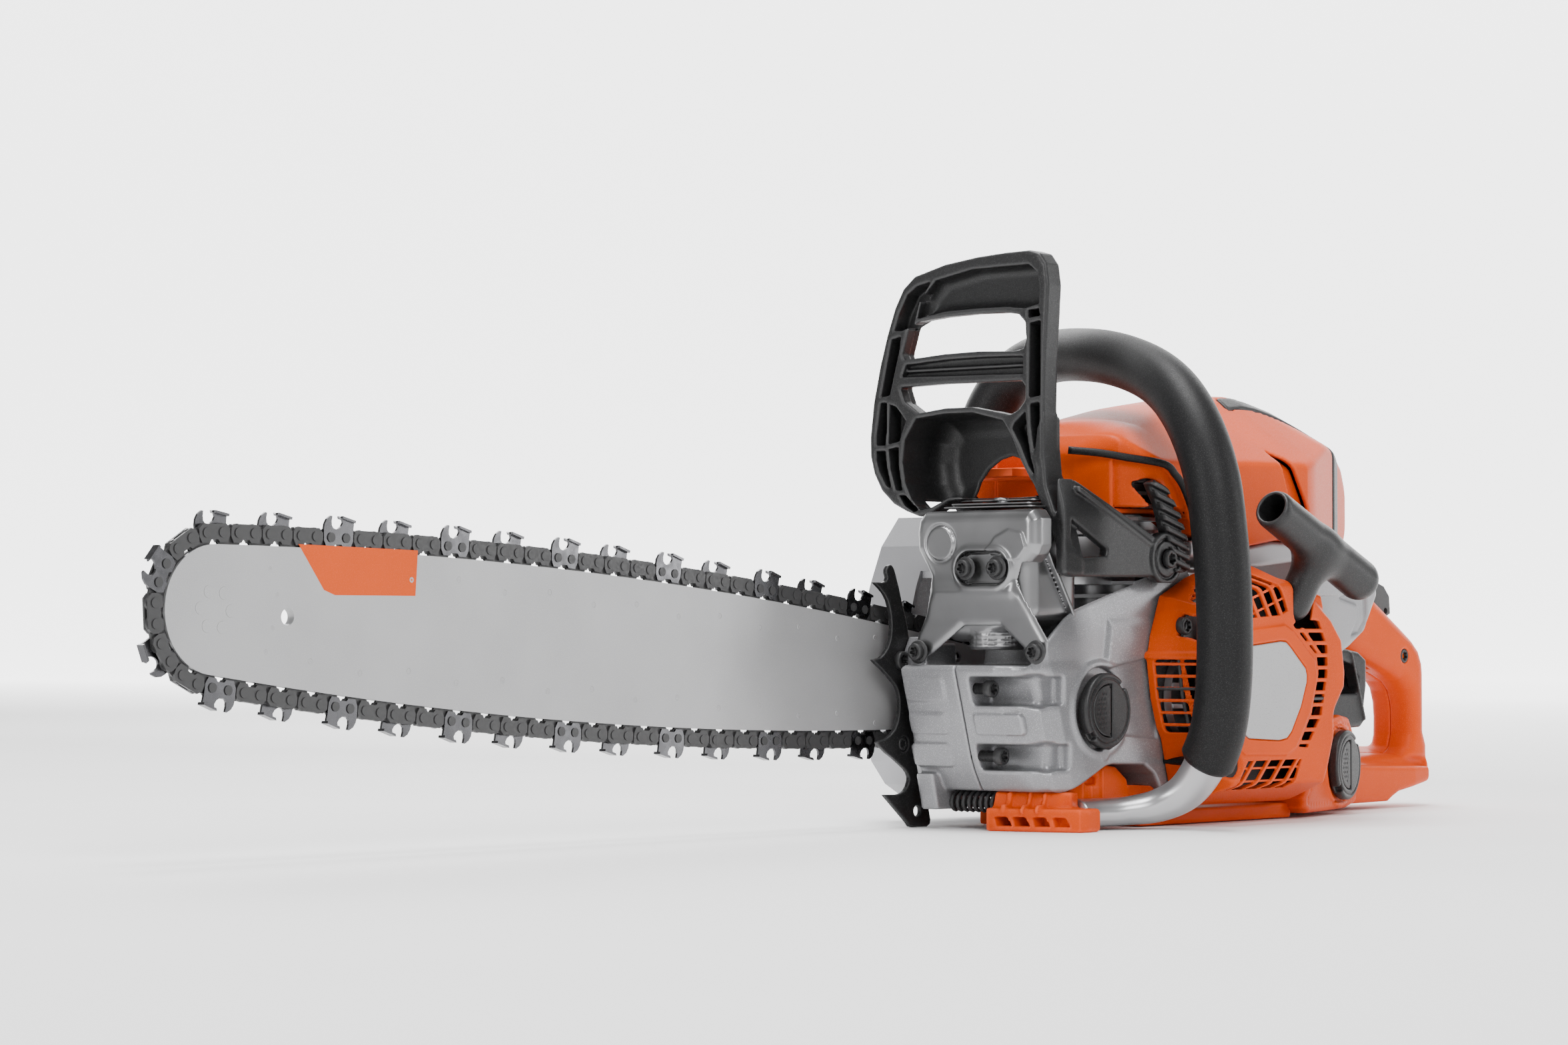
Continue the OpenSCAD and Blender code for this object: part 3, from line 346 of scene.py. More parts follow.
def strip(value, lo, hi):
    """Negative where value lies between lo and hi."""
    return np.abs(value - (lo + hi) / 2) - (hi - lo) / 2


def stripes(value, pitch, half):
    """Negative inside evenly spaced stripes of half width half."""
    return np.abs(np.mod(value, pitch) - pitch / 2) - half


def slab(across, along, lo, hi, r=0.0):
    """Solid between lo and hi of along, with its outline given by across and edges of radius r."""
    a = across + r
    b = np.abs(along - (lo + hi) / 2) - ((hi - lo) / 2 - r)
    return np.minimum(np.maximum(a, b), 0) + np.hypot(np.maximum(a, 0), np.maximum(b, 0)) - r


def disc(u, v, at, r):
    """Distance from (u, v) to a circle."""
    return np.hypot(u - at[0], v - at[1]) - r


def block(g, lo, hi, r=0.0):
    """Box with its edges rounded to r."""
    across = slab(strip(g.x, lo[0], hi[0]), g.y, lo[1], hi[1], r)
    return slab(across, g.z, lo[2], hi[2], r)


def capsule(g, a, b, r, r_end=None):
    """Round bar from a to b, tapering from r to r_end."""
    a, b = np.asarray(a, float), np.asarray(b, float)
    way = b - a
    t = ((g.x - a[0]) * way[0] + (g.y - a[1]) * way[1] + (g.z - a[2]) * way[2]) / (way @ way)
    t = np.clip(t, 0, 1)
    far = np.sqrt(
        (g.x - a[0] - t * way[0]) ** 2
        + (g.y - a[1] - t * way[1]) ** 2
        + (g.z - a[2] - t * way[2]) ** 2
    )
    return far - (r + t * ((r_end if r_end is not None else r) - r))


def join(a, b, k=0.0):
    """Union; k rounds the inner corner where the two meet."""
    if not k:
        return np.minimum(a, b)
    h = np.maximum(k - np.abs(a - b), 0)
    return np.minimum(a, b) - h * h / (4 * k)


def meet(a, b, k=0.0):
    """What both have in common; k rounds the edge between them."""
    return -join(-a, -b, k)


def cut(a, b, k=0.0):
    """a with b taken away; k rounds the edge that is left."""
    return -join(-a, b, k)


CORNERS = [(i, j, k) for i in (0, 1) for j in (0, 1) for k in (0, 1)]
EDGES = [(a, b) for a in range(8) for b in range(a + 1, 8) if bin(a ^ b).count("1") == 1]


def skin(name, g, field, material, body="saw", replaces=()):
    """Turns a field into a mesh: one point in each cell that the surface crosses."""
    field = np.broadcast_to(field, g.shape)
    field = np.pad(field, 1, constant_values=1e3)
    lo = g.lo - g.step
    inside = field < 0
    n = np.array(field.shape) - 1
    hits = sum(
        inside[i : n[0] + i, j : n[1] + j, k : n[2] + k].astype(np.int8) for i, j, k in CORNERS
    )
    cells = np.argwhere((hits > 0) & (hits < 8))
    number = np.full(n, -1, np.int64)
    number[tuple(cells.T)] = np.arange(len(cells))
    values = np.stack([field[tuple((cells + c).T)] for c in CORNERS], axis=1)
    total, count = np.zeros((len(cells), 3)), np.zeros(len(cells))
    for a, b in EDGES:
        crossed = (values[:, a] < 0) != (values[:, b] < 0)
        t = values[crossed, a] / (values[crossed, a] - values[crossed, b])
        ca, cb = np.array(CORNERS[a]), np.array(CORNERS[b])
        total[crossed] += ca + t[:, None] * (cb - ca)
        count[crossed] += 1
    verts = lo + (cells + total / count[:, None]) * g.step
    quads = []
    for axis in range(3):
        u, v = (axis + 1) % 3, (axis + 2) % 3
        near = np.take(inside, range(n[axis]), axis)
        far = np.take(inside, range(1, n[axis] + 1), axis)
        for flip, found in ((0, near & ~far), (1, far & ~near)):
            at = np.argwhere(found)
            at = at[(at[:, u] > 0) & (at[:, v] > 0) & (at[:, u] < n[u]) & (at[:, v] < n[v])]
            ring = []
            for du, dv in ((1, 1), (0, 1), (0, 0), (1, 0)):
                cell = at.copy()
                cell[:, u] -= du
                cell[:, v] -= dv
                ring.append(number[tuple(cell.T)])
            ring = np.stack(ring, axis=1)
            quads.append(ring[:, ::-1] if flip else ring)
    quads = np.concatenate(quads)
    mesh = bpy.data.meshes.new(name)
    mesh.vertices.add(len(verts))
    mesh.vertices.foreach_set("co", metres(verts).astype(np.float32).ravel())
    mesh.loops.add(quads.size)
    mesh.loops.foreach_set("vertex_index", quads.astype(np.int32).ravel())
    mesh.polygons.add(len(quads))
    mesh.polygons.foreach_set("loop_start", np.arange(0, quads.size, 4, dtype=np.int32))
    mesh.polygons.foreach_set("loop_total", np.full(len(quads), 4, np.int32))
    mesh.polygons.foreach_set("use_smooth", np.ones(len(quads), bool))
    mesh.update(calc_edges=True)
    return dress(name, mesh, material, body, replaces)


def show(node, g, field, material, body="saw"):
    """Skins a field as the visible form of one CAD node."""
    return skin(node + "_shown", g, field, material, body, [node])


# ---- screws -------------------------------------------------------------------------------


def ring_loops(at, axis, profile, sides=36, lobes=()):
    """Loops of a turned part: profile is (radius, height) pairs, height along axis from at.

    Loops whose number is in lobes follow the six-lobed outline of a screw recess."""
    axis = np.array(axis, float)
    u = np.cross(axis, (0.3, 0.2, 1.0))
    u /= np.linalg.norm(u)
    v = np.cross(axis, u)
    turn = np.arange(sides) * 2 * math.pi / sides
    loops = []
    for i, (r, h) in enumerate(profile):
        radii = r * (1 + 0.16 * np.cos(6 * turn)) if i in lobes else np.full(sides, r)
        ring = np.outer(radii * np.cos(turn), u) + np.outer(radii * np.sin(turn), v)
        loops.append(at + h * axis + ring)
    return loops


def screw(at, axis, head=4.6, tall=4.5, shank=2.5, length=12.0):
    """Cap screw with a six-lobed recess; at is the middle of its face, axis points outwards."""
    r = head * 0.5
    profile = [(shank, -tall - length), (shank, -tall), (head, -tall), (head, -0.7),
        (head - 0.2, -0.25)]
    profile += [(head - 0.8, 0.0), (r * 1.25, 0.0), (r * 1.16, -0.25), (r * 1.08, -2.4),
        (r * 0.7, -2.9)]
    return loft(ring_loops(np.array(at, float), axis, profile, lobes=(7, 8, 9)))


def combine(parts):
    """Several (vertices, faces) pairs as one."""
    verts, faces = [], []
    for v, f in parts:
        faces += [tuple(i + len(verts) for i in face) for face in f]
        verts += list(v)
    return verts, faces


LEFT, FRONT = (0, -1, 0), (-1, 0, 0)
PIVOT = (-13.0, 146.0)
COVER_SCREWS = [(-13.0, 109.5), (-6.0, 36.0)]
SHIELD_SCREWS = [(-31.5, 95.5), (-111.0, 95.5), (-85.0, 140.0), (-64.0, 140.0)]
HANDLE_SCREW = (300.0, 91.6)
screws = [
    screw((-122, -79.6, 76), LEFT, shank=3, length=20),
    screw((-113, -79.6, 40), LEFT, shank=3, length=20),
    screw((PIVOT[0], -117.4, PIVOT[1]), LEFT, 5.0, 3.0, 3, 9),
    screw((HANDLE_SCREW[0], -66.2, HANDLE_SCREW[1]), LEFT, 4.4),
    screw((-121, -17.4, 90.8), LEFT, 5.0, 3.4, length=7),
    screw((-117.3, -13.4, 45.5), LEFT, 3.6, 1.5, length=6),
]
screws += [screw((x, -127.5, z), LEFT, 4.9, length=16) for x, z in COVER_SCREWS]
screws += [screw((-130.6, y, z), FRONT, 4.5, length=2 if z < 100 else 40) for y, z in SHIELD_SCREWS]
add("torx_screws_shown", *combine(screws), "dark_steel", replaces=["torx_screws"])
washers = [
    loft(ring_loops(np.array((-126.1, y, z)), FRONT,
        [(3.4, 0), (6.2, 0), (6.4, 0.5), (6.0, 1.1), (3.4, 1.3)]), (0, 0))
    for y, z in SHIELD_SCREWS
]
add("shield_washers", *combine(washers), "dark_steel")

# ---- crankcase ----------------------------------------------------------------------------

SEAM_Y = -59.5
CASE_FRONT_TOP = (-131.0, 87.0)
CASE_FRONT_BOTTOM = (-112.0, 23.0)
FRONT_LEAN = (CASE_FRONT_BOTTOM[0] - CASE_FRONT_TOP[0]) / (CASE_FRONT_TOP[1] - CASE_FRONT_BOTTOM[1])


def crankcase():
    """Both cast halves as one field, split afterwards at the seam: leaning front face, rounded
    front left corner, a high left wall that climbs to the guard's pivot, and an arch below."""
    g = Grid((-134, -110, 8), (92, -12, 164), 0.9)
    behind = g.x - CASE_FRONT_TOP[0] - FRONT_LEAN * (CASE_FRONT_TOP[1] - g.z)
    plan = outline(behind, g.y, [(0, -10), (0, -86), (4, -95), (12, -102), (24, -106), (36, -107),
        (230, -107), (230, -10)])
    plan = meet(plan, g.y + 22, 1)
    body = g.side([(-140, 88.5), (-140, 21), (-91, 21), (60, 23), (78, 40), (84, 80), (70, 112),
        (-56, 112), (-60, 88.5)])
    # the leaning chamfer under the front face
    under = (-(g.z - 21) * 0.62 - (g.x + 107)) * 0.85
    low = meet(meet(body, plan, 4), under, 2)
    wall = g.side([(-124, 80), (-122, 88.5), (-113, 98), (-91, 114), (-81, 119), (-52, 127),
        (-29, 133), (-24, 150), (-16, 158), (8, 160), (16, 150), (30, 120), (30, 12), (-4, 12),
        (-10, 20), (-16, 29), (-25, 34), (-54, 35), (-60, 34), (-83, 24), (-91, 21), (-110, 21)])
    wall = meet(slab(wall, g.y, -107, -101.5, 1.6), plan, 3)
    # the top of the wall leans inwards above a soft crease
    crease = 103 + 0.24 * (g.x + 93)
    wall = meet(wall, (-107 + 0.3 * (g.z - crease) - g.y) * 0.95, 2)
    field = join(low, wall, 3)
    leg = g.plate([(-118, 30), (-113, 10.5), (-88, 10.5), (-78, 30)], -34, -22.2, 1.5)
    field = join(field, leg, 2)
    lug = g.plate([(-118, 80), (-118, 96), (-114, 103.5), (-106, 103.5), (-100, 82)], -30, -14.2, 1)
    field = join(field, lug, 1.5)
    rib = g.plate([(-107, 41), (-107, 100), (-92, 100), (-92, 41)], -30, -6, 1)
    field = join(field, rib)
    arch = g.plate([(-91, 5), (-91, 21), (-83, 24), (-60, 34), (-54, 35), (-25, 34), (-16, 29),
        (-10, 20), (-4, 5)], -120, -70, 2)
    field = cut(field, arch, 1.5)
    for x0, x1, z0, z1, y1 in ((-118.5, -97, 67, 82.5, -67.4), (-112, -91, 32.5, 46.5, -64)):
        front = block(g, (-150, -140, z0), (x0 + 10, y1, z1), 2.5)
        wrap = block(g, (-150, -140, z0), (x1, -99.5, z1), 2.5)
        field = cut(field, join(meet(front, behind - 17, 2), wrap, 5), 1.6)
    for z0, z1, y0, y1 in ((69, 82, -50, -23.4), (51.5, 62.5, -47.5, -22.5), (34, 46, -47, -20),
        (51.5, 62.5, -99, -67)):
        pad = slab(slab(strip(g.y, y0, y1), g.z, z0, z1, 2.5), behind, -0.9, 4, 0.5)
        field = join(field, pad, 1.2)
    cap = disc(g.x, g.z, (-65, 65), 22.6)
    field = join(field, g.rod((-65, 65), 25.2, -107.9, -100, 0.8), 3)
    field = cut(field, slab(cap, g.y, -120, -103.5), 1.2)
    field = join(field, g.rod((-62, 40.5), 3.6, -108.2, -100, 0.4), 0.6)
    panel = g.plate([(-62, 86), (-17, 92.5), (-14, 48), (-48, 51)], -120, -106.1, 0.6)
    field = cut(field, panel, 1.5)
    field = cut(field, g.rod(PIVOT, 16.5, -120, -105.2), 1)
    field = join(field, g.rod(PIVOT, 8, -106.4, -100), 1)
    field = cut(field, block(g, (-60, -101, 88), (92, -60, 170)))
    # the crank chamber and the cylinder's seat
    crank, middle_y = (16.4, 71.6), -62
    field = cut(field, g.rod(crank, 32, middle_y - 16.4, middle_y + 16.4))
    bore = np.hypot(g.x - crank[0], g.y - middle_y) - 27.8
    field = cut(field, meet(bore, crank[1] - g.z))
    left = meet(field, g.y - (SEAM_Y - 0.3), 0.9)
    right = meet(field, (SEAM_Y + 0.3) - g.y, 0.9)
    show("crankcase_left", g, left, "cast_metal")
    show("crankcase_right", g, right, "cast_metal")


crankcase()

# ---- muffler ------------------------------------------------------------------------------


def muffler():
    """Two deep-drawn shells with a crimped flange between them, and a ringed foot below."""
    g = Grid((-124, -106, 96), (-70, -33, 174), 0.8)
    shell = block(g, (-121.5, -101.5, 101), (-73, -38, 171), 11)
    shell = meet(shell, (g.y * -0.35 + g.z * -0.94 + 71.5), 5)
    flange = (g.x + 97) * 0.83 + (g.z - 135) * 0.55
    rim = meet(np.abs(flange) - 1.1, shell - 3.2, 0.5)
    groove = np.abs(np.abs(flange) - 1.6) - 0.35
    field = join(shell, rim, 1.5)
    field = cut(field, meet(groove, shell - 2.5), 0.4)
    foot = slab(disc(g.x, g.y, (-106, -69), 15), g.z, 96.6, 110, 2.0)
    rings = stripes(g.z, 2.6, 0.45)
    foot = cut(foot, meet(rings, -disc(g.x, g.y, (-106, -69), 14.2)), 0.4)
    show("muffler_body", g, join(field, foot, 1), "muffler_steel")


def step(value, width):
    """0 where value is above width, 1 where it is below zero, smooth between."""
    t = np.clip(1 - value / width, 0, 1)
    return t * t * (3 - 2 * t)


def muffler_shield():
    """Pressed heat shield: X-shaped sheet with rolled upper corners, an oval pocket and beads."""
    g = Grid((-129.5, -121, 87), (-106, -24, 175), 0.55)
    shape = g.front([(-33, 171), (-29, 167), (-27.5, 160), (-28, 150), (-33, 142), (-36.5, 136),
        (-35, 126), (-31.5, 116), (-25.5, 104), (-24.5, 96), (-28, 91), (-34, 90.5), (-39, 93),
        (-60, 107.5), (-84, 107.5), (-101, 94), (-106, 90.5), (-112, 90), (-117, 94), (-118, 102),
        (-111, 112), (-101, 128), (-98.5, 134), (-101, 141), (-108, 147), (-110, 152), (-110, 166),
        (-106, 171)])
    oval = slab(np.abs(g.y + 74.5) - 16.5, g.z, 132, 148, 7.9)
    bead = 1.5 * np.exp(-(((oval - 2.2) / 1.5) ** 2)) - 3.2 * step(oval + 0.4, 1.6)
    dome = disc(g.y, g.z, (-46, 153.5), 8.3)
    bead = bead + 0.9 * step(dome, 1.2) - 0.6 * np.exp(-(((dome - 1.6) / 0.9) ** 2))
    bean = g.front([(-79, 149), (-84, 155), (-92, 158.5), (-100, 157), (-102, 151), (-98, 146),
        (-92, 146)])
    bead = bead + 0.9 * step(bean - 1, 1.4)
    waist = 1.2 * np.exp(-(((g.z - 127.5) / 3.5) ** 2)) * step(np.abs(g.y + 68) - 24, 6)
    legs = -1.8 * step(g.z - 112, 16)
    front = g.x + bead + waist + legs
    solid = slab(shape, front, -125.4, -90, 6.5)
    sheet = np.abs(solid + 0.7) - 0.7
    field = meet(sheet, front + 111, 0.4)
    field = cut(field, meet(g.z - 143, -(front + 123.4)))
    for y, z in SHIELD_SCREWS:
        field = cut(field, slab(disc(g.y, g.z, (y, z), 2.8), g.x, -135, -115))
    show("muffler_shield", g, field, "muffler_steel")


muffler()
muffler_shield()
for i, (x0, x1, y0, y1, z) in enumerate(
    [(-117, -80, -101, -40, 172.3), (-113, -82, -97, -42, 174.1), (-108, -84, -96, -52, 176.0)]
):
    g = Grid((x0 - 2, y0 - 2, z - 1), (x1 + 2, y1 + 2, z + 3), 0.5)
    sheet = slab(slab(strip(g.x, x0, x1), g.y, y0, y1, 3), g.z, z, z + 1.1, 0.4)
    sheet = join(sheet, slab(disc(g.x, g.y, (-106, -76 + 2 * i), 4), g.z, z, z + 2.0, 0.6), 0.6)
    skin(f"deflector_plate_{i + 1}", g, sheet, "muffler_steel",
        replaces=["deflector_plate"] if i == 0 else ())

# ---- hand guard ---------------------------------------------------------------------------


def blind(g, points, front, back, r=1.5):
    """Pocket with the outline points in (y, z), open towards -x."""
    return slab(g.front(points), g.x, front, back, r)


GUARD_FRONT = -104.0


def hand_guard():
    """Ribbed moulding: hollow side columns, two windows with a channelled bar between them, a deep
    upper band, a bowl below that opens over the muffler, and an arm back to the pivot."""
    g = Grid((-106, -115, 133), (4, 22, 312), 0.85)
    x0 = GUARD_FRONT
    rim = g.front([(-93, 178), (-98.7, 205), (-98.7, 226), (-99.3, 248), (-100.7, 270), (-102, 291),
        (-100.5, 302), (-96, 308), (-89, 310), (-73, 309.7), (-53.6, 308.5), (-31, 305.7),
        (-10, 300.4), (-2, 294), (4, 283.6), (9.5, 269), (14.5, 252.6), (19.2, 232.5),
        (21.6, 213.5), (21.4, 202.5), (18.8, 193), (13.4, 183.6), (5, 176.2), (-4, 172.0),
        (-13, 169.0), (-22, 171), (-34, 177), (-60, 180)])
    field = slab(rim, g.x, x0, -91, 1.8)
    bowl = [(-11, 222.5), (-31, 224.5), (-50, 224.5), (-71, 219.5), (-77, 211), (-83, 198),
        (-90, 187), (-97, 179), (-60, 178.6), (-34, 179), (-22, 174), (-14, 172.5), (-8, 178),
        (-3.5, 187), (-1.5, 199), (-3, 211)]
    deep = g.front(bowl)
    field = join(field, meet(slab(deep - 2.4, g.x, x0 + 2, -66, 15), 177.6 - g.z, 1), 1)
    field = cut(field, slab(deep, g.x, x0 - 20, -68.4, 13), 1.2)
    mouth = g.front([(-28, 172), (-26, 180), (-28, 188), (-34, 195), (-42, 200), (-50, 202),
        (-60, 199), (-68, 192), (-76, 181), (-80, 170)])
    field = cut(field, slab(mouth, g.x, x0 + 14, -40), 1.5)
    upper = [(-6, 272), (-14, 275.5), (-31, 277), (-51, 277.7), (-73, 277.4), (-82, 276),
        (-86.5, 271.5), (-87, 262), (-85, 257.5), (-79, 256.5), (-55, 257.4), (-31, 257), (-3, 255),
        (-1.5, 258)]
    lower = [(0, 240), (-31, 240.8), (-84, 240.5), (-86.5, 237), (-86.5, 230), (-82, 225),
        (-76, 222.5), (-71, 223.5), (-50, 227.5), (-31, 227.5), (-13, 225.5), (-3, 232)]
    for window in (upper, lower):
        hole = g.front(window)
        field = cut(field, slab(hole - 1.2, g.x, x0 + 7.5, -60), 1.0)
        field = cut(field, slab(hole, g.x, -120, -60), 1.2)
    band = [(-25, 297.3), (-51, 302.0), (-89, 302.4), (-94.5, 298), (-96, 290), (-95.5, 281),
        (-86, 279), (-73, 280.5), (-51, 280.6), (-31, 280), (-12, 277), (-15, 288)]
    field = cut(field, blind(g, band, -120, -93.4, 6), 0.8)
    cells = [
        [(-22, 297), (-13.5, 286), (-9.5, 273.5), (-1, 271), (4.3, 271), (1, 280), (-5, 290.5),
         (-12, 295.0)],
        [(6.2, 266.5), (-0.5, 268), (0.5, 261), (7.5, 236), (13.8, 235)],
        [(14, 232), (9.6, 232), (9.6, 218), (10.6, 208.6), (17, 208.6), (17, 214)],
        [(7.5, 231), (3, 229.5), (-4, 221.5), (-1, 215), (0.5, 210.6), (8.5, 209)],
        [(17, 205.5), (10.6, 205.6), (9.6, 197), (6.3, 184.5), (10, 186), (15, 194), (17, 200)],
        [(8.4, 206.3), (1.4, 207.5), (1.2, 197.5), (-1.4, 183.5), (3.2, 183.5), (7, 195)],
        [(1.0, 181), (-3.5, 180.8), (-13, 172.4), (-9, 171.6), (-3, 175)],
        [(-89.5, 271), (-96.8, 272), (-96.4, 232), (-88.8, 231)],
        [(-89.5, 228), (-96, 228.4), (-96.2, 205), (-96.6, 191), (-92.5, 198), (-90, 216)],
        [(-86.5, 224), (-79, 218), (-77.5, 215), (-83, 206), (-88.5, 194.5), (-94, 187.5),
         (-90, 199), (-87.6, 212)],
        [(-88.4, 278), (-95.5, 278.4), (-96.5, 274.5), (-88.5, 273.8)],
    ]
    for cell in cells:
        field = cut(field, blind(g, cell, -120, -93, 1.0), 0.7)
    channel = g.front([(-85, 244), (-85, 253.6), (-55, 254.2), (-31, 253.8), (-4, 252.2),
        (-1, 245.5), (-31, 245)])
    groove = slab(channel, g.x, -120, x0 + 5.5, 1)
    field = cut(field, cut(groove, slab(np.abs(g.z - 248.9) - 0.8, g.x, x0 + 2.5, -60)), 0.6)
    flange = g.front([(-94, 215), (-98.7, 222), (-98.7, 205), (-100.7, 184), (-106, 170),
        (-110.5, 158), (-113, 148), (-113, 138), (-107.2, 138), (-107.2, 150), (-103, 161),
        (-97.5, 172), (-93, 182), (-92, 200)])
    field = join(field, slab(flange, g.x, x0, -88, 1.8), 1.5)
    arm = g.side([(x0, 137), (x0, 190), (-97, 192), (-90, 188.5), (-56, 172), (-18, 156.5),
        (-6, 146), (-12, 136), (-96, 135.4)])
    gap = g.side([(-97, 166), (-66, 150.6), (-67, 146.8), (-90, 145.6), (-95, 148.5), (-98, 157)])
    lean = meet(slab(arm, g.y, -113, -107.2, 1.6), -(g.y + 113) + (g.z - 172) * 0.3, 2)
    field = join(field, cut(lean, slab(gap, g.y, -120, -100), 1.4), 2)
    ridge = g.plate([(-92, 184), (-20, 152), (-20, 149.5), (-92, 181)], -113.7, -108, 0.5)
    field = join(field, ridge, 1.2)
    hub = disc(g.x, g.z, PIVOT, 14.6)
    field = join(field, slab(hub, g.y, -114.2, -107.2, 1.2), 1.5)
    ring = np.abs(disc(g.x, g.z, PIVOT, 10.6)) - 0.7
    field = cut(field, slab(ring, g.y, -118, -112.8), 0.4)
    field = cut(field, g.rod(PIVOT, 5.3, -118, -113.4), 0.3)
    right_arm = g.plate([(-69, 184), (-67, 196), (-8, 156), (-4, 140), (-22, 138)], -9, -2, 1.5)
    field = join(field, right_arm, 1)
    field = cut(field, g.rod(PIVOT, 5.2, -12, 2))
    show("hand_guard", g, field, "dark_plastic", "guard")


hand_guard()

# ---- front handle -------------------------------------------------------------------------

HANDLE_ROUTE = [(34, 42, 150), (32, 45, 180), (30, 45, 206), (30, 45, 228), (34, 30, 252),
    (30, 0, 263), (9, -50, 261), (-5, -90, 252), (-20, -122, 238), (-32, -146, 217),
    (-38, -161, 190), (-38, -166, 160), (-37, -168, 130), (-36, -168, 100), (-36, -167, 76),
    (-34, -162, 54), (-31, -152, 36), (-32, -140, 21), (-38, -126, 13), (-50, -113, 10),
    (-64, -104, 9.4), (-78, -99, 9.4)]
route = smooth_path(HANDLE_ROUTE, 8)
sleeve = route[2 * 8 : 16 * 8 + 1]
flat = np.interp(np.arange(len(route)), [15 * 8, 19 * 8], [1.0, 0.62])
add("front_handle_shown", *loft(tube(route, 12.3, 48, flatten=flat)), "light_alloy",
    replaces=["front_handle"])
lip = np.full(len(sleeve), 15.0)
lip[[0, -1]] = 13.2
add("handle_grip_shown", *loft(tube(sleeve, lip, 56)), "grip_rubber", replaces=["handle_grip"])

# ---- starter ------------------------------------------------------------------------------

BADGE = [(23, 98.5), (52, 101), (57, 100.6), (61, 98), (76, 86), (77.4, 82), (77, 78), (71.5, 65),
    (62, 51), (57.5, 47.5), (50, 46.5), (21, 48), (14, 52), (4, 72), (4, 78), (16, 95)]


def starter_cover():
    """Domed cover: sloping sides with louvres and lattices round a raised plate for the badge."""
    g = Grid((-28, -147, 8), (134, -106, 148), 0.7)
    rim = g.side([(-13, 126), (-22, 104), (-25, 91), (-21.5, 70), (-16, 54), (-12, 48), (-4, 20),
        (0, 10.5), (104, 10.5), (112, 27), (118.5, 45), (118.5, 57.5), (129, 71), (130, 84),
        (126, 107), (112, 122), (86, 139), (63, 145), (34, 143), (10, 136)])
    slope = (31 * rim + 12 * (-(g.y + 112))) / 33.2

    def dome(inset, face):
        return meet(meet(rim + inset, slope + inset, 3), face - g.y, 2.5)

    outer = meet(dome(0, -143.0), g.y + 108)
    shell = cut(outer, dome(2.4, -140.6))
    lug = g.side([(60, 120), (63, 135), (98, 127), (101, 118)])
    shell = join(shell, cut(slab(lug, g.y, -141, -118, 3), dome(2.4, -140.6)), 2)
    plate = g.side([(20, 107), (56, 110), (64, 107), (86, 90), (88, 80), (81, 61), (67, 42),
        (58, 38), (18, 39), (8, 44), (-4, 72), (-4, 80), (10, 103)])
    shell = join(shell, cut(slab(plate, g.y, -144.4, -138, 1.0), dome(2.4, -140.6)), 1.5)
    badge = g.side(BADGE)
    shell = cut(shell, slab(badge - 0.6, g.y, -150, -143.0), 0.4)

    def through(region):
        return slab(region, g.y, -160, -110)

    # lattices: openings in the skin, filled again with crossing ribs
    top = g.side([(-6, 112), (54, 115.5), (61, 118), (58, 124), (49, 138), (32, 139), (8, 132),
        (-8, 122)])
    diagonal = stripes(g.x * 0.83 + g.z * 0.56, 9.6, 1.25)
    crossing = stripes(g.z - 0.3 * g.x, 8.6, 0.8)
    ribs = join(diagonal, meet(crossing, outer + 1.4))
    shell = cut(shell, meet(through(top), -ribs, 0.6), 0.5)
    low = g.side([(10, 20), (22, 35.5), (74, 35.5), (66, 20)])
    ribs = join(stripes(g.x - g.z, 14, 1.2), meet(stripes(g.z, 7.0, 0.8), outer + 1.4))
    shell = cut(shell, meet(through(low), -ribs, 0.6), 0.5)
    column = g.side([(66, 110), (89, 93.5), (91, 83), (84, 61), (71, 42.5), (80, 42), (94, 60),
        (100, 83), (100, 98), (92, 112), (76, 117)])
    brace = np.abs((g.x - 78) * 0.64 + (g.z - 106) * 0.77) - 1.2
    ribs = join(stripes(g.z, 6.9, 1.1), meet(brace, -(g.z - 92)))
    shell = cut(shell, meet(through(column), -ribs, 0.6), 0.5)
    # louvres on the sloping left side, with one upright
    window = meet(block(g, (-40, -137, 51.6), (6, -112.5, 91.4), 2), g.x - 6)
    bars = stripes(g.z - 88.8 + 3.3, 6.6, 0.85)
    upright = np.abs((g.y + 128) * 0.98 - (g.z - 71) * 0.1) - 1.7
    bars = join(meet(bars, outer + 0.6), meet(upright, outer + 1.6))
    shell = cut(shell, meet(window, -bars, 0.4), 0.5)
    ledge = meet(np.abs(g.z - 93.5) - 1.6, outer - 1.0, 0.8)
    shell = join(shell, meet(meet(ledge, -dome(2.4, -140.6)), g.x + 4), 1.5)
    for x, z in COVER_SCREWS:
        shell = join(shell, cut(g.rod((x, z), 8.2, -124.5, -110), -outer), 1)
        funnel = join(g.rod((x, z), 6.4, -160, -123.5),
            capsule(g, (x + 4, -138, z - 1), (x + 20, -152, z - 3), 8.5), 4)
        shell = cut(shell, funnel, 1.0)
    slot = g.plate([(-3, 121), (0, 123), (3, 121), (3, 117.5), (-3, 117.5)], -160, -110)
    shell = cut(shell, slot, 0.6)
    shell = cut(shell, capsule(g, (75.5, -136.5, 118), (78, -143, 140), 11), 1)
    show("starter_cover", g, shell, "orange_plastic")
    dark = slab(meet(np.abs(g.z - 75.4) - 0.9, meet(window - 3, outer + 0.4)), g.y, -150, -110)
    dark = meet(dark, -(outer + 3))
    lower = meet(np.abs(g.z - 69) - 1.0, column - 2)
    dark = join(dark, meet(lower, meet(outer + 0.4, -(outer + 3))))
    skin("starter_cover_bars", g, dark, "dark_plastic")
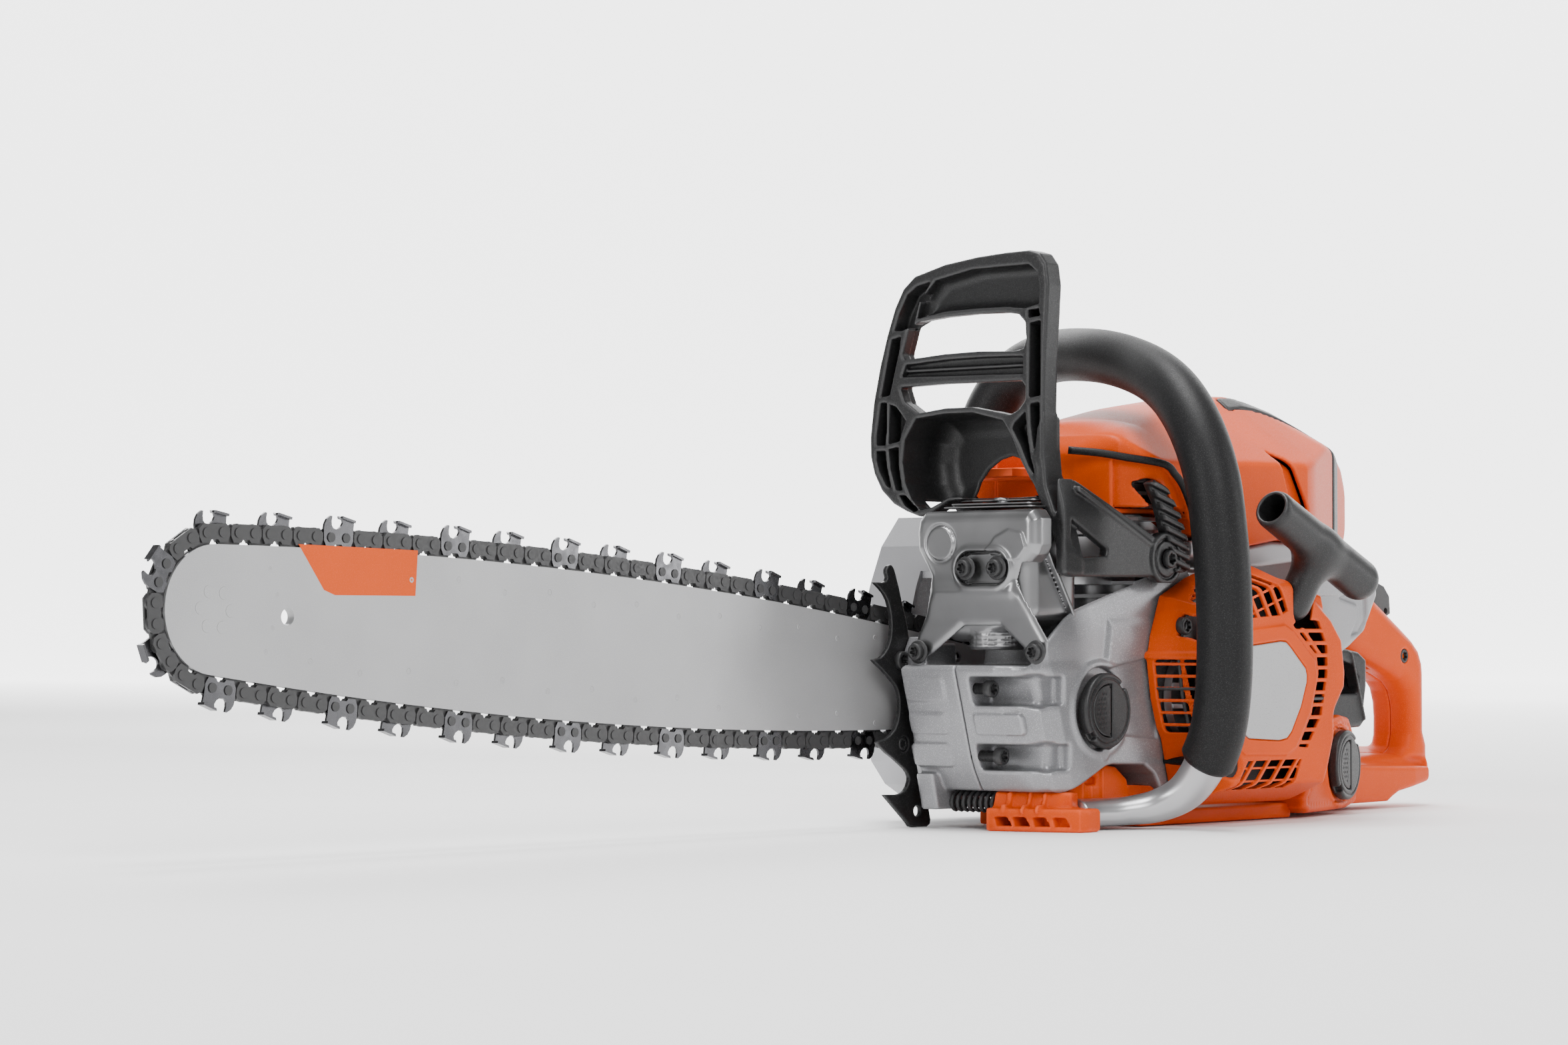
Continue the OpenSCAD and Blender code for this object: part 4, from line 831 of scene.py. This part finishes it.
    # dark plate inside the cover: painted shade behind the louvres and lattices, standing in partly
    # for an air guide
    shade_plate = meet(slab(rim + 6, g.y, -126, -124), -disc(g.x, g.z, (10, 80), 14))
    skin("air_guide_shade_plate", g, shade_plate, "dark_plastic")
    lo = Grid((0, -145, 44), (80, -142, 104), 0.45)
    panel = lo.plate(BADGE, -144.3, -142.4, 0.5)
    show("badge_panel", lo, panel, "badge_silver")


def pull_handle():
    """Slanted cross grip, hollow at its upper end, on a stem that widens into it."""
    g = Grid((24, -164, 110), (136, -124, 188), 0.7)
    a, b = np.array((42.0, -150.0, 171.0)), np.array((120.0, -150.0, 136.0))
    grip = capsule(g, a - (b - a) * 0.04, b, 11.2, 11.8)
    way = (b - a) / np.linalg.norm(b - a)
    end = -((g.x - a[0]) * way[0] + (g.z - a[2]) * way[2]) - 8.5
    grip = meet(grip, end, 1.5)
    grip = cut(grip, capsule(g, a - way * 20, a + way * 16, 8.2), 1.0)
    stem = capsule(g, (80, -149, 151), (75.5, -136.5, 122), 9.5, 9.8)
    field = join(grip, stem, 11)
    show("starter_handle", g, field, "dark_plastic", "pull_handle")


starter_cover()
pull_handle()

# ---- top cover ----------------------------------------------------------------------------

RIDGE = [(-60, 222), (-4, 225), (44, 235), (80, 240), (116, 243), (130, 242), (170, 232.6),
    (201, 221.5), (233, 210)]
DUCT = [(-29, 187), (-20.5, 175), (-14, 159), (-6, 139), (6, 139), (5, 155), (-3.6, 172),
    (-14, 184), (-22.6, 189)]


def top_cover():
    """Faceted hood: ridge, a crease along the left side, a recessed front below a rubber gasket, a
    notch with a pocket behind it, and a dark strip let in along the ridge."""
    g = Grid((-122, -124, 136), (246, 26, 250), 1.15)
    ridge = np.interp(g.x, [p[0] for p in RIDGE], [p[1] for p in RIDGE])
    crown = g.z - (ridge - 0.0035 * np.square(g.y + 50) * np.where(g.y < -50, 1.0, 0.75))
    # left side, upper and lower facet, meeting in the crease
    upper_slope = -(0.62 * (g.y + 76) - 0.785 * (g.z - 232 - 0.12 * (ridge - 235)))
    left_lower = -(g.y + 118.5 - 0.10 * np.maximum(g.z - 200, 0))
    taper = -(g.y + 118 - 0.42 * np.maximum(g.x - 120, 0)) * 0.92
    nose = -(0.80 * (g.x + 50) + 0.60 * (g.y + 100))
    corner = outline(g.x * 0.6574 - g.y * 0.7536, g.z,
        [(-120, 60), (-120, 262), (60, 262), (90, 248.5), (124, 243.5), (150, 234), (170, 223),
        (191, 211.5), (199, 202.5), (204.5, 187), (205, 60)])
    plan = g.plan([(-30, 20), (-30, -46), (-46, -52), (-48, -76), (-38, -100), (-16, -119),
        (90, -121), (150, -117), (190, -101), (214, -84), (232, -66), (240, -52), (241, -10),
        (200, 20)])
    fore = g.side([(-46, 140), (-47, 204), (-38, 214), (-8, 226), (80, 246), (246, 246),
        (246, 140)])
    right = g.y + 0.35 * (g.z - 190) - 12
    body = meet(meet(plan, crown, 6), upper_slope, 2.5)
    body = meet(body, meet(left_lower, taper, 8), 2.5)
    body = meet(body, corner, 4)
    body = meet(meet(body, fore, 5), right, 10)
    rear = g.side([(-60, 130), (-60, 260), (212, 240), (236, 208), (241, 200), (236, 178),
        (214, 156), (206, 136)])
    body = meet(meet(body, rear, 4), nose, 3)
    hem = np.interp(g.x, [-50, 0, 18, 62, 92, 130, 206, 240],
        [171, 171, 160, 154, 158, 157, 152, 152])
    body = meet(body, hem - g.z, 1.5)
    shell = cut(body, body + 2.6)
    # recessed front below the gasket arc
    arc = g.side([(-70, 130), (-70, 202), (-54, 203), (-35, 201), (-18, 197.6), (-10, 192),
        (-4, 186), (2, 176), (6, 166), (8, 150), (8, 130)])
    step_in = slab(arc, g.y, -140, -96, 1)
    recess = meet(step_in, -(body + 3.0))
    shell = cut(shell, recess, 0.8)
    inner = meet(meet(body + 3.2, -(body + 5.6)), slab(arc - 2, g.y, -140, -86), 0.6)
    duct = g.side(DUCT)
    inner = cut(inner, slab(duct - 1.0, g.y, -140, -100), 0.8)
    shell = join(shell, inner, 0.5)
    notch = g.side([(92, 208), (104, 203.5), (122, 175.5), (103, 180)])
    shell = cut(shell, slab(notch, g.y, -140, -96, 1), 1.0)
    pocket = meet(meet(slab(notch - 2.5, g.y, -140, -90, 1), body + 5), -(body + 7.5))
    shell = join(shell, pocket, 1)
    edge = -80.5 + 1.27 * (0.88 * ridge - 204.8)
    channel = meet(np.abs(g.y - edge) - 4.6, 100 - g.x, 2)
    shell = cut(shell, meet(channel, -(body + 1.6)), 0.6)
    show("top_cover", g, shell, "orange_plastic")
    insert = meet(meet(channel + 0.4, body - 0.6), -(body + 2.4), 0.8)
    insert = meet(insert, g.x - 238)
    show("cover_insert", g, insert, "dark_plastic")


def gasket_and_duct():
    """Black rubber lip that runs down the front of the hood, and the ribbed duct beside it."""
    g = Grid((-62, -124, 134), (14, -80, 212), 0.6)
    top = [(-56, -79, 205), (-46, -92, 203.5), (-35, -103, 201), (-18, -115.5, 197.6),
        (-10, -117.4, 192), (-4, -118.2, 186), (2, -118.8, 176), (6, -119, 166), (8, -119, 152)]
    way = smooth_path(top, 6)
    add("hood_gasket", *loft(tube(way, 2.1, 14)), "grip_rubber")
    duct = g.side(DUCT)
    base = slab(duct, g.y, -113.2, -108.8, 0.8)
    down = g.z + 0.28 * g.x
    ribs = meet(slab(duct - 0.3, g.y, -116.2, -110, 1.4), stripes(down, 5.2, 1.5), 0.6)
    show("duct_grille", g, join(base, ribs, 0.5), "dark_plastic")


top_cover()
gasket_and_duct()

# ---- caps ---------------------------------------------------------------------------------


def cap_pair(centre, turn, flap_body, cap_body, node):
    """Tank cap: a ribbed rim with a set-back shoulder, and a half-moon flap with dimples."""
    g = Grid((-26, -9, -26), (26, 4, 26), 0.55)
    across = np.sqrt(np.square(g.x) + np.square(g.z))
    body = slab(across - 20.2, g.y, -6.0, 0.0, 1.6)
    angle = np.degrees(np.arctan2(g.z, g.x))
    notch = meet(np.abs(np.mod(angle + 45, 180) - 90) * 0.35 - 2.6, 17.2 - across)
    body = cut(body, slab(notch, g.y, -12, -2.2), 0.8)
    moon = meet(across - 14.2, g.x - 1, 0.5)
    body = cut(body, slab(moon, g.y, -12, -2.3), 0.5)
    bar = meet(np.sqrt(np.square(g.x - 1) + np.square(g.y + 4.2)) - 2.0, np.abs(g.z) - 12.3)
    body = cut(body, meet(bar, g.y + 4.2 - 9), 0.3)
    body = cut(body, meet(slab(np.abs(g.x - 1) - 2.0, g.y, -12, -4.2), np.abs(g.z) - 14.4), 0.3)
    groove = slab(np.abs(across - 17.2) - 0.35, g.y, -12, -5.3)
    body = cut(body, groove, 0.3)
    flap = slab(meet(across - 13.7, g.x - 1, 0.5), g.y, -5.9, -2.5, 0.6)
    hinge = np.sqrt(np.square(g.x - 1) + np.square(g.y + 4.2)) - 1.7
    flap = join(flap, meet(hinge, np.abs(g.z) - 12), 0.4)
    row, column = np.mod(g.z, 2.6) - 1.3, np.mod(g.x + 1.3 * np.floor(g.z / 2.6), 2.6) - 1.3
    dots = np.sqrt(np.square(row) + np.square(column) + np.square(g.y + 6.2)) - 0.85
    dots = meet(dots, meet(across - 11, g.x + 2.5))
    flap = cut(flap, dots, 0.2)
    for piece, field, ride in ((node, body, cap_body), (node + "_flap", flap, flap_body)):
        move_mesh(show(piece, g, field, "dark_plastic", ride), centre, turn)


def move_mesh(obj, centre, turn):
    """Place a mesh that was built round the saw frame's origin at a centre, turned about z."""
    count = len(obj.data.vertices)
    flat = np.empty(count * 3, np.float32)
    obj.data.vertices.foreach_get("co", flat)
    zero = np.array(metres([(0, 0, 0)])[0])
    local = flat.reshape(-1, 3) - zero
    angle = math.radians(turn)
    rotate = np.array(((math.cos(angle), -math.sin(angle), 0),
        (math.sin(angle), math.cos(angle), 0), (0, 0, 1)))
    placed = local @ rotate.T + np.array(metres([centre])[0])
    obj.data.vertices.foreach_set("co", placed.astype(np.float32).ravel())
    obj.data.update()


TANK_LEAN = 13.3
FUEL_AT = (176, -114 + 57 * math.tan(math.radians(TANK_LEAN)) - 0.1, 29)
cap_pair((-65, -107.2, 64), 0, "oil_flap", "oil_lid", "oil_cap")
cap_pair(FUEL_AT, TANK_LEAN, "fuel_flap", "fuel_lid", "fuel_cap")

# ---- tank, rear handle and front mount ----------------------------------------------------

REAR_Y = -50.0
HANDLE_OUT = [(190, 90), (205, 114), (220, 130), (240, 138.5), (252, 136), (270, 127.5), (300, 111),
    (314, 103), (322, 96.5), (326.4, 88), (327.4, 80), (327.4, 46), (331, 38), (331, 14), (205, 4),
    (190, 40)]
HANDLE_IN = [(224, 104), (240, 95.5), (264.5, 87), (286, 80.5), (298, 76), (304.6, 70), (307.6, 62),
    (308.4, 54), (308.2, 44), (305.5, 36), (300, 31), (273, 31.5), (206, 31), (204, 60), (205, 90),
    (214, 104)]


def tank_unit():
    """Fuel tank, the rear handle's two halves on their wide foot, and the front mount."""
    g = Grid((196, -82, 0), (342, -18, 142), 0.9)
    side = g.side(HANDLE_OUT)
    hole = g.side(HANDLE_IN)
    half = np.interp(g.x, [215, 255, 300, 330], [19.0, 17.5, 16.5, 16.0])
    across = np.abs(g.y - REAR_Y) - half
    loop = meet(meet(side, across, 13), -hole, 11)
    under = g.side([(196, 4), (268, 4.2), (274, 7), (282, 9.8), (318, 14.5), (327, 17), (333, 27),
        (333, 37), (327, 43), (196, 43)])
    wing = np.abs(g.y - REAR_Y) - np.interp(g.x, [200, 250, 300, 320, 335],
        [30, 26.5, 23.5, 20.5, 7])
    slope = g.z - 27.5 + 0.05 * (g.x - 235) - 0.3 * (g.y + 73)
    top = np.interp(g.x, [200, 240, 300, 330], [37, 37, 36, 36])
    foot = meet(meet(under, wing, 3), meet(slope * 0.8, g.z - top, 2), 2)
    body = join(loop, foot, 4)
    valley = capsule(g, (262, -69.5, 30.5), (322, -66, 26.5), 1.0, 3.2)
    body = cut(body, valley, 2.5)
    body = cut(body, g.rod((300, 91.6), 4.4, -90, REAR_Y - 14), 0.5)
    slot = g.plate([(252, 150), (252, 124), (296, 107), (304, 113), (304, 150)], REAR_Y - 7.6,
        REAR_Y + 7.6)
    body = cut(body, slot, 0.8)
    finger = g.plate([(222, 80), (222, 108), (262, 98), (276, 84), (270, 76)], REAR_Y - 6.6,
        REAR_Y + 6.6)
    body = cut(body, finger, 0.8)
    seam = meet(np.abs(g.y - REAR_Y) - 0.35, -(loop + 0.9))
    body = cut(body, seam, 0.3)
    left = meet(body, g.y - REAR_Y - 0.05)
    skin("tank_handle_shown", g, left, "orange_plastic", replaces=["tank_unit"])
    show("rear_handle_cover", g, meet(body, REAR_Y + 0.05 - g.y), "orange_plastic")

    g = Grid((112, -128, 0), (222, 12, 66), 1.0)
    lean = math.radians(TANK_LEAN)
    u = (g.x - 119) * math.cos(lean) + (g.y + 114) * math.sin(lean)
    v = -(g.x - 119) * math.sin(lean) + (g.y + 114) * math.cos(lean)
    face = outline(u, g.z, [(0, 6), (8, 2.4), (40, 2.6), (72, 3.2), (88, 6), (90, 14), (89, 38),
        (87, 44), (76, 56.5), (64, 58), (50, 56), (36, 52), (22, 40), (10, 22), (0, 12)])
    tank = meet(meet(face, -v, 4), meet(g.y - 6, g.x - 219, 4), 3)
    tank = meet(tank, -(g.z - 2), 2)
    rim = np.abs(np.hypot(u - 58.6, g.z - 29) - 23.0) - 1.4
    tank = join(tank, slab(rim, v, -0.9, 3, 0.6), 1)
    seat = slab(np.hypot(u - 58.6, g.z - 29) - 21.4, v, -8, 1.2)
    tank = cut(tank, seat, 0.6)
    tank = cut(tank, slab(np.hypot(u - 58.6, g.z - 29) - 16.3, v, -8, 12), 0.3)
    edge = np.abs(face + 5) - 0.5
    tank = cut(tank, slab(edge, v, -4, 0.5), 0.5)
    skin("fuel_tank_shown", g, tank, "orange_plastic")

    g = Grid((-118, -124, 0), (124, -14, 36), 1.0)
    beam = join(block(g, (-60, -84, 0.5), (121, -20, 9), 1.5),
        block(g, (-24, -104, 0.5), (121, -80, 9), 1.5))
    mount = g.plan([(-114, -67), (-99, -119), (-92, -120), (-80, -118), (-79, -84), (-60, -78),
        (-60, -67)])
    base = slab(mount, g.z, 0, 12.4, 1.2)
    body = g.plan([(-110.5, -67.2), (-101, -100), (-92, -108), (-81, -104), (-81, -84), (-60, -78),
        (-60, -67.2)])
    chamfer = -(g.x + 108.5 - 0.28 * (g.z - 12) + 0.3 * (g.y + 67)) * 0.9
    upper = meet(slab(body, g.z, 8, 21, 1.2), chamfer, 1.5)
    base = join(base, upper, 1.5)
    for y, half in ((-77, 1.2), (-88, 1.0), (-96, 1.0)):
        rib = block(g, (-112, y - half, 10), (-90, y + half, 21), 0.6)
        base = join(base, meet(rib, base - 2.2), 0.8)
    base = cut(base, block(g, (-130, -95, 14), (-101, -89, 19.5), 1), 0.8)
    for y in (-108, -97, -86, -76):
        slot = g.front([(y - 5.4, 3.0), (y + 3.0, 3.0), (y + 4.4, 7.8), (y - 2.6, 7.8)])
        base = cut(base, slab(slot, g.x, -140, -97, 0.8), 0.6)
    inner = g.side([(-84, 10), (-84, 26), (-72, 33), (-56, 35.5), (-38, 33), (-28, 26), (-24, 10)])
    inner = slab(inner, g.y, -98, -72, 1.5)
    for x in (-70, -62, -52):
        inner = join(inner, block(g, (x - 0.9, -99.6, 12), (x + 0.9, -96, 27 - 0.1 * x), 0.4), 0.6)
    inner = cut(inner, block(g, (-66, -110, 24), (-56, -94, 28), 0.6), 0.4)
    base = join(join(base, beam, 2), inner, 1)
    skin("front_mount_shown", g, base, "orange_plastic")


tank_unit()

# ---- housings beside the rear handle ------------------------------------------------------


def rear_housing():
    """Pale shells between hood and tank: a band under the hood and the air box behind it."""
    g = Grid((14, -112, 88), (228, -20, 172), 1.0)
    band = g.side([(12, 148), (12, 156), (40, 158), (62, 152.6), (92, 157.4), (130, 157),
        (160, 156), (166, 140), (158, 127), (132, 127), (116, 146), (62, 141)])
    side = slab(band, g.y + 0.32 * np.maximum(g.x - 120, 0), -111, -72, 2.5)
    box = g.side([(132, 92), (132, 150), (200, 151), (224, 138), (226, 128), (212, 106), (196, 97),
        (180, 90), (150, 90)])
    shell = slab(box, g.y, -96, -22, 5)
    pocket = g.side([(184, 126), (212, 133), (213, 113), (206, 106), (196, 104), (202, 112),
        (203, 122)])
    shell = cut(shell, slab(pocket, g.y, -110, -93.4, 1.2), 1.6)
    field = join(side, shell, 6)
    show("rear_housing", g, field, "pale_plastic")


def stop_lever():
    """Dark bracket in front of the handle opening: hollow above, with a raised ridge on its left
    face near the back.
    """
    g = Grid((160, -104, 44), (232, -64, 108), 0.7)
    plate = g.side([(174, 60), (168, 84), (176, 100), (214, 94.5), (222, 90), (222, 74),
        (219.5, 62), (220, 54), (216, 50), (190, 49)])
    field = slab(plate, g.y, -90, -70, 3)
    hollow = g.plate([(186, 70), (182, 86), (186, 92), (208, 86.5), (213, 80), (210, 70)], -110,
        -76, 2)
    field = cut(field, hollow, 1.5)
    ridge = np.abs((g.x - 212) + 0.35 * (g.z - 70)) - 0.8
    field = join(field, meet(slab(ridge, g.y, -91.5, -84), plate + 2), 1.5)
    show("stop_lever", g, field, "dark_plastic", "stop")


rear_housing()
stop_lever()

# ---- bumper spikes ------------------------------------------------------------------------

SPIKE = [(-128, 142.5), (-130.5, 142), (-132, 140), (-132.2, 138), (-131, 135.5), (-132, 133.6),
    (-135, 132.8), (-142.5, 133), (-137, 129.5), (-133.4, 126.6), (-130.8, 123.3), (-129.1, 119.4),
    (-127.9, 114.9), (-127.4, 109.7), (-127.8, 104.5), (-128.8, 101.2), (-130.8, 97.3),
    (-133.9, 94.1), (-137, 92.2), (-143.8, 91.2), (-141, 89.4), (-136, 86.3), (-130.8, 82.7),
    (-126.4, 79.2), (-123.8, 77), (-122.1, 74.5), (-120.8, 70), (-120.6, 66), (-121.2, 61.5),
    (-122.4, 57.5), (-124.7, 53.5), (-128.3, 50.6), (-131.8, 48.8), (-140.2, 46.9), (-137, 44.5),
    (-131.8, 41), (-125.7, 37.8), (-119.5, 34), (-116.3, 32), (-113.9, 29.8), (-112.6, 27.4),
    (-112.9, 25), (-114.4, 22.3), (-116.5, 20.2), (-119, 18.9), (-122.6, 18.3), (-134.2, 18.6),
    (-114.4, 3), (-112.4, 0.8), (-110, 0.2), (-97.5, 0.2), (-95, 1.6), (-94.5, 4), (-96, 10),
    (-99, 17), (-104, 26), (-108, 40), (-110, 60), (-111, 84), (-112, 100), (-115.4, 113.6),
    (-118.5, 121.4), (-121.5, 130.5), (-124.5, 138), (-126, 141)]


def bumper_spikes():
    """Toothed plate with a hole in its foot and a seat for the lower screw."""
    g = Grid((-147, -15.5, -1), (-92, -9.5, 145), 0.45)
    plate = g.plate(SPIKE, -14, -11.2, 0.45)
    plate = cut(plate, g.rod((-106, 9), 3.05, -20, -5), 0.4)
    plate = cut(plate, g.rod((-117.3, 45.5), 4.4, -20, -13), 0.3)
    show("bumper_spikes", g, plate, "dark_steel")


bumper_spikes()

# ---- guide bar ----------------------------------------------------------------------------


def bar_details():
    """Printed panel and two rows of spot welds on the bar's left face."""
    face = -2.3
    corners = [(-546, 147), (-530, 125.8), (-523, 123.4), (-471.1, 123.4), (-469.5, 145.2)]
    loops = [[(x, y, z) for x, z in corners] for y in (face - 0.06, face + 0.2)]
    panel = add("bar_panel", *loft(loops), "bar_print", smooth=False)
    large = [(1.5, -0.3), (1.5, 0.02), (1.2, 0.12), (0.7, 0.1), (0.25, -0.02)]
    small = [(1.2, -0.3), (1.2, 0.02), (0.9, 0.1), (0.2, 0.0)]
    stagger = 1.625
    spots = []
    for (x0, z0), (x1, z1), first, last in (((-505, 135.5), (-128, 101.5), 1, 12),
        ((-538.6, 90.8), (-128, 58.5), 0, 13)):
        for i in range(first, last + 1):
            t = i / last
            z = z0 + t * (z1 - z0) + (-stagger if i % 2 else stagger)
            spots.append((x0 + t * (x1 - x0), z, large))
    spots += [(x, z, small) for x, z in ((-563.6, 135.2), (-559, 123.3), (-566, 97), (-562, 108))]
    welds = [loft(ring_loops(np.array((x, face, z)), LEFT, way, 14)) for x, z, way in spots]
    add("bar_spot_welds", *combine(welds), "bar_steel")


bar_details()

# ---- machined and small parts keep their exact form, with broken edges ---------------------

for node, width in (
    ("clutch_cover", 2.5),
    ("clutch_drum", 0.4),
    ("clutch_hub", 0.4),
    ("bar_nuts", 0.5),
    ("bar_studs", 0.3),
    ("cylinder", 0.5),
    ("flywheel", 0.5),
    ("throttle_trigger", 2.0),
    ("throttle_lockout", 2.0),
    ("starter_pulley", 0.4),
    ("ignition_module", 0.8),
    ("snap_lock", 0.8),
    ("chain_catcher", 0.8),
    ("oil_pump", 0.8),
    ("bar_left_plate", 0.12),
    ("bar_right_plate", 0.12),
    ("tie_straps", 0.28),
    ("drive_links", 0.22),
    ("left_cutters", 0.25),
    ("right_cutters", 0.25),
    ("chain_rivets", 0.4),
    ("nose_rivets", 0.3),
):
    soften(bpy.data.objects[node], width)

# ---- studio -------------------------------------------------------------------------------

camera_at = metres([-1825.8, -1420.2, 106.0])
ahead = Vector((0.7528, 0.6577, 0.0269))
down = Vector((0.0203, 0.0177, -0.9996))
lens = bpy.data.cameras.new("camera")
lens.lens = 93.66
lens.sensor_width = 36.0
lens.clip_end = 60.0
camera = bpy.data.objects.new("camera", lens)
bpy.context.scene.collection.objects.link(camera)
side = ahead.cross(-down).normalized()
up = side.cross(ahead).normalized()
camera.matrix_world = Matrix((
    (side.x, up.x, -ahead.x, camera_at[0]),
    (side.y, up.y, -ahead.y, camera_at[1]),
    (side.z, up.z, -ahead.z, camera_at[2]),
    (0, 0, 0, 1),
))
bpy.context.scene.camera = camera


def backdrop():
    """White floor that curves up far behind the saw."""
    profile = [(-9.0, 0.0), (7.0, 0.0)]
    bend = np.linspace(0.1, 1.57, 12)
    profile += [(7.0 + 2.5 * math.sin(a), 2.5 - 2.5 * math.cos(a)) for a in bend]
    profile.append((9.5, 9.0))
    forward = Vector((ahead.x, ahead.y, 0)).normalized()
    left = Vector((-forward.y, forward.x, 0))
    loops = [[forward * d + left * w + Vector((0, 0, h)) for d, h in profile] for w in (-9.0, 9.0)]
    n = len(profile)
    mesh = bpy.data.meshes.new("backdrop")
    mesh.from_pydata(loops[0] + loops[1], [], [(i, i + 1, n + i + 1, n + i) for i in range(n - 1)])
    mesh.polygons.foreach_set("use_smooth", [True] * len(mesh.polygons))
    made, tree, shader, coords = node_tree("backdrop")
    white = ramp(tree, noise(tree, coords, 3.0), (0.9, 0.9, 0.9), (0.92, 0.92, 0.92))
    tree.links.new(white, shader.inputs["Base Color"])
    shader.inputs["Roughness"].default_value = 0.75
    # the far part glows, so that the saw stands before an even white wall
    place = tree.nodes.new("ShaderNodeSeparateXYZ")
    tree.links.new(tree.nodes.new("ShaderNodeNewGeometry").outputs["Position"], place.inputs[0])
    shader.inputs["Emission Color"].default_value = (1, 1, 1, 1)
    far = tree.nodes.new("ShaderNodeMapRange")
    tree.links.new(place.outputs[0], far.inputs["Value"])
    for socket, value in (("From Min", 0.8), ("From Max", 4.0), ("To Min", 0.0), ("To Max", 3.0)):
        far.inputs[socket].default_value = value
    tree.links.new(far.outputs[0], shader.inputs["Emission Strength"])
    mesh.materials.append(made)
    shown = bpy.data.objects.new("backdrop", mesh)
    bpy.context.scene.collection.objects.link(shown)
    return shown


def softbox(name, at, aim, size, power):
    """Rectangular studio light at a place in metres, facing aim."""
    light = bpy.data.lights.new(name, "AREA")
    light.shape = "RECTANGLE"
    light.size, light.size_y = size
    light.energy = power
    shown = bpy.data.objects.new(name, light)
    shown.location = at
    shown.rotation_euler = (Vector(aim) - Vector(at)).to_track_quat("-Z", "Y").to_euler()
    bpy.context.scene.collection.objects.link(shown)
    return shown


floor = backdrop()
middle = (0.1, 0.0, 0.15)
lights = [
    softbox("overhead", (0.0, 0.1, 2.4), middle, (2.0, 1.0), 90),
    softbox("front_left", (-1.5, -2.3, 1.7), middle, (0.9, 1.5), 54),
    softbox("side_strip", (1.9, -1.9, 0.9), middle, (0.45, 1.8), 22),
    softbox("back_rim", (1.3, 2.2, 1.5), middle, (1.6, 1.0), 26),
    softbox("nose_strip", (-2.5, 0.5, 0.9), middle, (0.5, 1.4), 26),
]
world = bpy.data.worlds.new("studio")
bpy.context.scene.world = world
world.use_nodes = True
glow = world.node_tree.nodes["Background"]
glow.inputs["Color"].default_value = (1, 1, 1, 1)
glow.inputs["Strength"].default_value = 0.35
